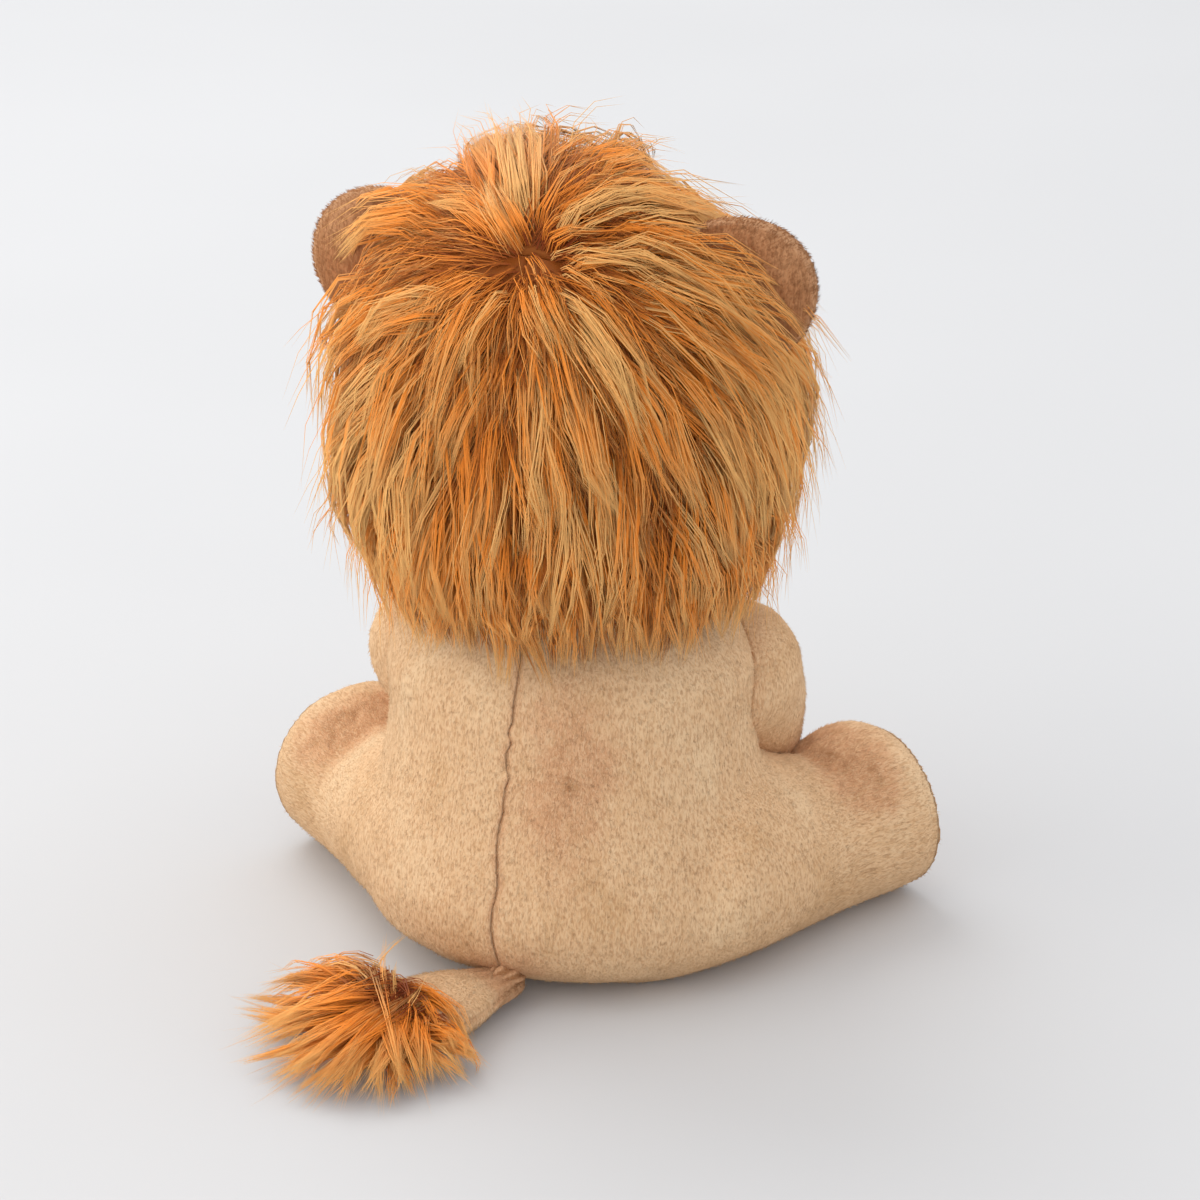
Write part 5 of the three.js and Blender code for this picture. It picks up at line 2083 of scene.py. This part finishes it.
@dataclass
class Ear:
    """One cupped round ear with its lining.

    It is made upright, with its outer end along X, and then tilted up to its place on the head.

    Attributes:
        side: Which ear.
        head: Where the head sits.
        distance: How far its middle is from the head's.
        rise: How far it is tilted up, in degrees.
        reach: Its half length.
        half_width: Its half width.
        half_thickness: Its half thickness.
        lean: How far back it is set.
        head_height: The height of the head's middle.
        cup_forward: How far in front of the ear the hollow's edge would lie.
        cup_depth: How deep the hollow is from there.
        margin: How wide its rim is.
        root_cut: Where it is cut off at the head.
        curl: How much its edges bend back.
        forward: How far forward it is moved after that.
    """

    side: Side
    head: HeadFrame = field(default_factory=HeadFrame)
    distance: float = 73.0
    rise: float = 36.0
    reach: float = 26.0
    half_width: float = 24.5
    half_thickness: float = 9.0
    lean: float = 3.0
    head_height: float = 200.0
    cup_forward: float = 15.0
    cup_depth: float = 13.0
    margin: float = 3.5
    root_cut: float = -13.0
    curl: float = 0.0022
    forward: float = 1.2

    def place(self, points: Array) -> Array:
        """Points of the upright ear in the lion's frame."""
        rise = math.radians(self.rise)
        outward = np.array([math.cos(rise) * self.side.sign, 0.0, math.sin(rise)])
        across = np.array([-math.sin(rise) * self.side.sign, 0.0, math.cos(rise)])
        centre = np.array([0.0, self.lean, self.head_height]) + outward * self.distance
        axes = np.array([outward, [0.0, 1.0, 0.0], across])
        return self.head.place(centre + points @ axes)

    def cup(self, points: Array) -> Array:
        """How far back the hollow reaches at points of the ear, or a low number outside it."""
        along = points[:, 0] / (self.reach - self.margin)
        across = points[:, 2] / (self.half_width - self.margin)
        inside = 1 - along**2 - across**2
        depth = -self.cup_forward + self.cup_depth * np.sqrt(np.maximum(inside, 0.0))
        return np.where(inside > 0, depth, -FAR_OFF)

    def build(self) -> None:
        """Make the ear's back with its pile, and its lining."""
        shape = bmesh.new()
        bmesh.ops.create_uvsphere(shape, u_segments=72, v_segments=44, radius=1.0)
        lay_flat(shape)
        size = Vector((self.reach, self.half_thickness, self.half_width))
        bmesh.ops.scale(shape, vec=size, verts=shape.verts)
        for vert in shape.verts:
            if vert.co.y < 0:
                vert.co.y = max(vert.co.y, self.cup(np.array([vert.co]))[0])
        edges = cut_off(shape, (self.root_cut, 0, 0), (1, 0, 0))
        bmesh.ops.contextual_create(shape, geom=edges)
        bmesh.ops.recalc_face_normals(shape, faces=shape.faces)
        label = self.side.label
        mesh = bmesh_to_mesh(shape, f"ear_{label}_back")
        points = points_of(mesh)
        out = np.hypot(points[:, 0] / self.reach, points[:, 2] / self.half_width)
        rim, groove = bell(out, 0.985, 0.03), bell(out, 0.92, 0.022)
        bend = self.curl * points[:, 2] ** 2 + 0.8 * SoftNoise(Seed.EAR)(points, 16.0)
        points[:, 1] += bend - self.forward
        points[:, 1] -= 0.8 * groove * (points[:, 1] > 0)
        points += unit(points) * (0.5 * rim)[:, None]
        set_points(mesh, self.place(points))
        if self.side is Side.RIGHT:
            mesh.flip_normals()
        # The rim and the outer end of the ear's back are made lighter.
        far = ramp(2.0, 26.0, points[:, 0]) * (0.6 + 0.4 * ramp(-10.0, 20.0, points[:, 2]))
        add_values(mesh, "wear", np.clip(0.5 * rim + 0.3 * far, 0, 0.5))
        way = self.place(np.array([[1.0, 0.0, 0.0]]))[0] - self.place(np.zeros((1, 3)))[0]
        nap = Nap(length=2.2, width=0.22, stir=0.35, seed=Seed.EAR_NAP)
        coat = nap.grow(mesh, 5200, f"ear_{label}_nap", lambda at: np.broadcast_to(way, at.shape))
        add_values(coat, "wear", 0.0)
        add_plush(mesh, coat, EAR_PLUSH, "head", (f"ear_back_{label}",))
        self.build_lining()

    def build_lining(self) -> None:
        """The pale lining of the hollow."""
        shape = bmesh.new()
        bmesh.ops.create_circle(shape, cap_ends=True, cap_tris=True, segments=56, radius=1.0)
        lay_flat(shape)
        bmesh.ops.subdivide_edges(shape, edges=[e for e in shape.edges if len(e.link_faces) == 2], cuts=14)
        inset = self.margin + 0.4
        size = Vector((self.reach - inset, 1.0, self.half_width - inset))
        bmesh.ops.scale(shape, vec=size, verts=shape.verts)
        for vert in shape.verts:
            vert.co.y = max(self.cup(np.array([vert.co]))[0], -self.half_thickness) - 0.3
            vert.co.y += self.curl * vert.co.z**2 - self.forward
        cut_off(shape, (self.root_cut + 1.0, 0, 0), (1, 0, 0))
        label = self.side.label
        mesh = bmesh_to_mesh(shape, f"ear_{label}_lining")
        set_points(mesh, self.place(points_of(mesh)))
        if np.mean([polygon.normal.y for polygon in mesh.polygons]) > 0:
            mesh.flip_normals()
        add_values(mesh, "wear", 0.0)
        lining = add_piece(mesh, MUZZLE_PLUSH.material(), "muzzle_plush", "head", (f"ear_lining_{label}",))
        thicken(lining, thickness=1.2)


# Face


@dataclass
class Face:
    """The face on the straight head: cloth, muzzle, chin, nose, bead eyes and stitched mouth.

    Attributes:
        head: Where the head sits.
        centre: The middle of the head.
        half: Its half sizes.
        back_edge: How far back the face's cloth goes.
        neck_height: How low it goes.
        lobe_offset: How far out each lobe of the muzzle is.
        lobe_centre: The middle of both lobes.
        lobe_half: A lobe's half sizes.
        bridge_centre: The middle of the bridge between them.
        bridge_half: Its half sizes.
        chin_centre: The middle of the chin.
        chin_half: Its half sizes.
        nose_centre: The middle of the nose.
        nose_half: Its half sizes.
        eye_offset: How far out each eye is.
        eye_height: How high the eyes are.
        eye_radius: A bead's radius.
        eye_dome: How far it stands out of the cloth.
        shank_radius: The radius of its shank.
        shank_length: How far the shank reaches behind the cloth.
        stitch_radius: The radius of the mouth's thread.
    """

    head: HeadFrame = field(default_factory=HeadFrame)
    centre: tuple = (0.0, -6.0, 200.0)
    half: tuple = (62.0, 58.0, 60.0)
    back_edge: float = -14.0
    neck_height: float = 148.4
    lobe_offset: float = 11.0
    lobe_centre: tuple = (0.0, -62.0, 186.0)
    lobe_half: tuple = (16.0, 15.0, 13.0)
    bridge_centre: tuple = (0.0, -57.0, 196.0)
    bridge_half: tuple = (15.0, 18.0, 16.0)
    chin_centre: tuple = (0.0, -58.0, 171.0)
    chin_half: tuple = (13.0, 12.0, 9.0)
    nose_centre: tuple = (0.0, -75.0, 199.0)
    nose_half: tuple = (9.0, 5.0, 6.0)
    eye_offset: float = 23.0
    eye_height: float = 211.0
    eye_radius: float = 5.5
    eye_dome: float = 4.0
    shank_radius: float = 1.6
    shank_length: float = 9.0
    stitch_radius: float = 0.55

    def level(self, points: Array) -> Array:
        """How far out points lie on the head: 1 on its cloth."""
        return egg_level(points, self.centre, self.half)

    def ball(self, shape: Shape, centre: tuple, half: tuple, fineness: int) -> None:
        """Add an egg to a shape."""
        made = bmesh.ops.create_icosphere(shape, subdivisions=fineness, radius=1.0)["verts"]
        bmesh.ops.scale(shape, vec=Vector(half), verts=made)
        bmesh.ops.translate(shape, vec=Vector(centre), verts=made)

    def eye_seat(self, side: Side) -> tuple[Array, Array]:
        """Where an eye sits and the way that it looks."""
        x, z = self.eye_offset * side.sign, self.eye_height
        share = 1 - (x / self.half[0]) ** 2 - ((z - self.centre[2]) / self.half[2]) ** 2
        seat = np.array([x, self.centre[1] - self.half[1] * math.sqrt(share), z])
        return seat, unit((seat - self.centre) / np.array(self.half) ** 2)

    def build_cloth(self) -> None:
        """The face's cloth and its pile."""
        shape = bmesh.new()
        self.ball(shape, self.centre, self.half, fineness=6)
        for height, way, place in ((self.back_edge, (0, -1, 0), 1), (self.neck_height, (0, 0, 1), 2)):
            at = [0.0, 0.0, 0.0]
            at[place] = height
            cut_off(shape, at, way)
        mesh = bmesh_to_mesh(shape, "face_cloth")
        points, normals = points_of(mesh), normals_of(mesh)
        noise = SoftNoise(Seed.FACE)
        push = 0.5 * noise(points, 20.0)
        for side in Side:
            seat, _ = self.eye_seat(side)
            away = np.linalg.norm(points - seat, axis=1)
            push += 0.9 * bell(away, 9.5, 3.5) - 0.9 * bell(away, 0.0, 5.5)
        set_points(mesh, points + normals * push[:, None])
        add_values(mesh, "wear", 0.15 * np.clip(noise(points, 12.0), 0, 1))

        def comb(at: Array) -> Array:
            """Away from the nose."""
            return at - np.array(self.nose_centre)

        def bare(at: Array, _: Array) -> Array:
            """No pile under the muzzle, the chin or the eyes."""
            hidden = self.muzzle_level(at) < 0.94
            for side in Side:
                hidden |= np.linalg.norm(at - self.eye_seat(side)[0], axis=1) < self.eye_radius - 0.8
            return hidden

        nap = Nap(length=2.4, width=0.22, stir=0.35, seed=Seed.FACE_NAP)
        coat = nap.grow(mesh, 11000, "face_cloth_nap", comb, bare)
        cloth = self.add_cloth(mesh, coat, BODY_PLUSH, "face_panel")
        thicken(cloth, thickness=1.8)

    def add_cloth(
        self, mesh: Mesh, coat: Mesh, finish: PlushFinish, node: str
    ) -> Piece:
        """Add a cloth that was made on the straight head, with its pile, and give the cloth.

        Args:
            mesh: The cloth.
            coat: Its pile.
            finish: The finish of both.
            node: The CAD node that it stands for.

        Returns:
            The cloth.
        """
        add_values(coat, "wear", 0.0)
        placed = self.head.place_mesh(mesh)
        return add_plush(placed, self.head.place_mesh(coat), finish, "head", (node,))

    def muzzle_eggs(self) -> list[tuple]:
        """The middle and the half sizes of each egg that the muzzle is made from."""
        eggs = []
        for side in Side:
            centre = np.array(self.lobe_centre) + [self.lobe_offset * side.sign, 0, 0]
            eggs.append((centre, self.lobe_half))
        return [*eggs, (self.bridge_centre, self.bridge_half)]

    def muzzle_level(self, points: Array) -> Array:
        """How far points lie from the muzzle and the chin: under 1 inside."""
        eggs = [*self.muzzle_eggs(), (self.chin_centre, self.chin_half)]
        return np.min([egg_level(points, centre, half) for centre, half in eggs], axis=0)

    def on_head(self, points: Array) -> Array:
        """Points under the head's cloth brought out onto it."""
        level = self.level(points)[:, None]
        return self.centre + (points - self.centre) * np.maximum(1.004 / np.maximum(level, 0.2), 1.0)

    def build_muzzle(self) -> None:
        """The stuffed muzzle with its two lobes, and the chin under it."""
        shape = bmesh.new()
        for centre, half in self.muzzle_eggs():
            self.ball(shape, centre, half, fineness=4)
        muzzle = remeshed(shape, voxel=1.0, relax=3, name="muzzle_cloth")
        shape = bmesh.new()
        self.ball(shape, self.chin_centre, self.chin_half, fineness=5)
        chin = bmesh_to_mesh(shape, "chin_cloth")
        parts = ((muzzle, "muzzle", 7000, Seed.MUZZLE), (chin, "chin", 2200, Seed.CHIN))
        for mesh, node, tufts, seed in parts:
            points = points_of(mesh)
            points = points + normals_of(mesh) * (0.35 * SoftNoise(seed)(points, 9.0))[:, None]
            set_points(mesh, self.on_head(points))
            add_values(mesh, "wear", 0.0)

            def bare(at: Array, _: Array) -> Array:
                """No pile against the face or under the nose."""
                return (self.level(at) < 1.01) | (egg_level(at, self.nose_centre, self.nose_half) < 1.0)

            def comb(at: Array) -> Array:
                """Back and down from the nose."""
                return at - np.array(self.nose_centre) + [0.0, 12.0, -4.0]

            nap = Nap(length=2.0, width=0.2, lean=28.0, seed=seed)
            coat = nap.grow(mesh, tufts, mesh.name + "_nap", comb, bare)
            self.add_cloth(mesh, coat, MUZZLE_PLUSH, node)
        self.build_mouth(muzzle)

    def build_mouth(self, muzzle: Mesh) -> None:
        """The mouth, stitched in dark thread: down from the nose and out under both lobes."""
        tree = BVHTree.FromPolygons([v.co for v in muzzle.vertices], [p.vertices for p in muzzle.polygons])
        lines = [[(0.0, -90.0, 195.0 - step) for step in range(0, 20, 2)]]
        for side in Side:
            bow = [
                (side.sign * 1.3 * step, -90.0, 177.5 - 3.4 * math.sin(step / 9 * math.pi) + 0.14 * step)
                for step in range(10)
            ]
            lines.append(bow)
        shape = bmesh.new()
        for line in lines:
            placed = self.head.place(np.array(line)) * MM
            hits = [tree.ray_cast(Vector(point), Vector((0, 1, 0))) for point in placed]
            spine = np.array([hit[0] for hit in hits if hit[0] is not None]) / MM
            spine[:, 1] -= 0.1
            loft(shape, limb_rings(spine, np.full(len(spine), self.stitch_radius), sides=10))
        mesh = bmesh_to_mesh(shape, "mouth_stitches")
        add_piece(mesh, DARK_THREAD.material(), "nose_velour", "head")

    def build_nose(self) -> None:
        """The velour nose: wide at the top and narrow below."""
        shape = bmesh.new()
        self.ball(shape, (0.0, 0.0, 0.0), self.nose_half, fineness=5)
        mesh = bmesh_to_mesh(shape, "nose_velour_pad")
        points = points_of(mesh)
        low = points[:, 2] / self.nose_half[2]
        points[:, 0] *= 1.0 - 0.34 * np.maximum(-low, 0.0) + 0.06 * np.maximum(low, 0.0)
        points[:, 2] += 0.8 * (1 - (points[:, 0] / self.nose_half[0]) ** 2) * (low < 0) * low
        points = points + [self.nose_centre]
        set_points(mesh, self.head.place(points))
        add_values(mesh, "wear", 0.0)
        add_piece(mesh, NOSE_VELOUR.material(), "nose_velour", "head", ("nose",))

    def build_eyes(self) -> None:
        """Each bead with its shank, and a finish for the washer behind the cloth."""
        for side in Side:
            seat, look = self.eye_seat(side)
            shape = bmesh.new()
            made = bmesh.ops.create_uvsphere(shape, u_segments=48, v_segments=32, radius=1.0)["verts"]
            size = Vector((self.eye_radius, self.eye_radius, self.eye_dome))
            bmesh.ops.scale(shape, vec=size, verts=made)
            for vert in made:
                vert.co.z = max(vert.co.z, -0.6)
            depth = self.shank_length + self.eye_dome / 2
            thick = self.shank_radius
            bar = bmesh.ops.create_cone(
                shape, cap_ends=True, segments=24, radius1=thick, radius2=thick, depth=depth
            )["verts"]
            bmesh.ops.translate(shape, vec=Vector((0, 0, self.eye_dome / 2 - depth / 2)), verts=bar)
            turn = Vector((0, 0, 1)).rotation_difference(Vector(look)).to_matrix().to_4x4()
            bmesh.ops.transform(shape, matrix=turn, verts=shape.verts)
            bmesh.ops.translate(shape, vec=Vector(seat), verts=shape.verts)
            label = side.label
            mesh = self.head.place_mesh(bmesh_to_mesh(shape, f"eye_bead_{label}"))
            piece = add_piece(mesh, EYE_PLASTIC.material(), "eye_plastic", "head", (f"eye_{label}",))
            piece.data.set_sharp_from_angle(angle=math.radians(40))
            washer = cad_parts[f"eye_washer_{label}"]
            washer.data.materials.clear()
            washer.data.materials.append(WASHER_PLASTIC.material())

    def build(self) -> None:
        """Make the whole face."""
        self.build_cloth()
        self.build_muzzle()
        self.build_nose()
        self.build_eyes()


# Filling


@dataclass
class Filling:
    """What a soft part is stuffed with, drawn in a little from the CAD solid that holds its space.

    Attributes:
        node: The CAD node that it stands for.
        body: The CAD body that it rides on.
        finish: What it is made of, named like the record's slot.
        voxel: The size of its faces.
        lumps: How uneven it is.
        drawn_in: How far its surface lies inside the solid's.
    """

    node: str
    body: str
    finish: PlainFinish
    voxel: float = 2.6
    lumps: float = 0.35
    drawn_in: float = 0.8

    def build(self) -> None:
        """Make the filling."""
        shape = mesh_to_bmesh(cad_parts[self.node].data)
        mesh = remeshed(shape, self.voxel, relax=6, name=self.node + "_loose")
        points, normals = points_of(mesh), normals_of(mesh)
        push = self.lumps * SoftNoise(Seed.FILLING)(points, 7.0) - self.drawn_in
        set_points(mesh, points + normals * push[:, None])
        add_piece(mesh, self.finish.material(), self.finish.name, self.body, (self.node,))


def build_fillings() -> None:
    """Make all the fibre and the bean pouch."""
    for node, body in (
        ("torso_filling", "torso"),
        ("leg_filling_left", "torso"),
        ("leg_filling_right", "torso"),
        ("arm_filling_left", "arm_left"),
        ("arm_filling_right", "arm_right"),
        ("head_filling", "head"),
    ):
        Filling(node, body, FILLING).build()
    Filling("seat_bean_pouch", "torso", POUCH_COTTON).build()


# Stage


@dataclass
class Stage:
    """The pale floor, the lights and the camera.

    Attributes:
        look: The point that the photograph is measured from.
        azimuth: Where the camera stands, in degrees round from the front.
        elevation: How high it looks down from, in degrees.
        distance: How far it stands from that point.
        aim_right: How far the picture's middle lies to the right of that point.
        aim_up: How far it lies above it.
        lens: The focal length.
        sensor: The width of the camera's sensor.
        lit_point: The point that the lights are aimed at.
        floor_size: Half the floor's width.
    """

    look: tuple = (0.0, 0.0, 120.0)
    azimuth: float = 192.0
    elevation: float = 25.0
    distance: float = 1300.0
    aim_right: float = 9.5
    aim_up: float = 5.1
    lens: float = 114.7
    sensor: float = 36.0
    lit_point: tuple = (0.0, 0.0, 100.0)
    floor_size: float = 6000.0

    def camera(self) -> None:
        """Stand the camera where the photographer stood."""
        turn, rise = math.radians(self.azimuth), math.radians(self.elevation)
        back = Vector((math.sin(turn) * math.cos(rise), -math.cos(turn) * math.cos(rise), math.sin(rise)))
        right = Vector((math.cos(turn), math.sin(turn), 0.0))
        up = back.cross(right)
        eye = Vector(self.look) + back * self.distance
        aim = Vector(self.look) + right * self.aim_right + up * self.aim_up
        data = bpy.data.cameras.new("camera")
        data.lens = self.lens
        data.sensor_width = self.sensor
        data.clip_start = 0.05
        data.clip_end = 50.0
        bpy.context.scene.camera = self.aimed("camera", data, eye, aim)

    def aimed(self, name: str, data: bpy.types.ID, place: Vector, at: Vector) -> Piece:
        """Put a camera or a light at a place, in millimetres, and point it at another."""
        made = put_in_scene(name, data)
        made.location = place * MM
        made.rotation_euler = (at - place).to_track_quat("-Z", "Y").to_euler()
        return made

    def floor(self) -> None:
        """A pale seamless floor."""
        shape = bmesh.new()
        bmesh.ops.create_grid(shape, x_segments=2, y_segments=2, size=self.floor_size)
        mesh = bmesh_to_mesh(shape, "floor")
        mesh.materials.append(shared_material("floor_paper", self.wire_floor))
        made = put_in_scene("floor", mesh)

    def wire_floor(self, wiring: Wiring) -> dict[str, object]:
        """What goes into the floor's shader."""
        grain = wiring.noise(wiring.place(), 3.0, 2.0)
        colour = wiring.mix(wiring.span(grain, 0.3, 0.7), linear("c9c9c9"), linear("cbcbcb"))
        return {"Base Color": colour, "Roughness": 0.9, "Specular IOR Level": 0.1}

    def light(self, name: str, place: tuple, size: float, power: float, shade: str) -> None:
        """One soft area light aimed at the lion.

        Args:
            name: The light's name.
            place: Where it stands, in millimetres.
            size: Its width.
            power: Its power in watts.
            shade: Its colour.
        """
        data = bpy.data.lights.new(name, "AREA")
        data.shape = "DISK"
        data.size = size * MM
        data.energy = power
        data.color = linear(shade)[:3]
        self.aimed(name, data, Vector(place), Vector(self.lit_point))

    def build(self) -> None:
        """Set up the whole stage."""
        self.camera()
        self.floor()
        self.light("key", (1500.0, 900.0, 900.0), size=2300.0, power=15.6, shade="fffcf6")
        self.light("back", (900.0, -900.0, 1900.0), size=1500.0, power=13.6, shade="ffffff")
        world = bpy.data.worlds.new("studio")
        world.use_nodes = True
        background = world.node_tree.nodes["Background"]
        background.inputs["Color"].default_value = linear("f2f3f6")
        background.inputs["Strength"].default_value = 1.22
        bpy.context.scene.world = world
        bpy.context.scene.view_settings.view_transform = "Standard"


def main() -> None:
    """Build the stage and the lion."""
    logging.basicConfig(level=logging.INFO, format="%(name)s: %(message)s")
    Stage().build()
    body = Body()
    body.build()
    for side in Side:
        Arm(side, body).build()
    Mane().build()
    Tail().build()
    for side in Side:
        Ear(side).build()
    Face().build()
    build_fillings()


if __name__ == "__main__":
    main()
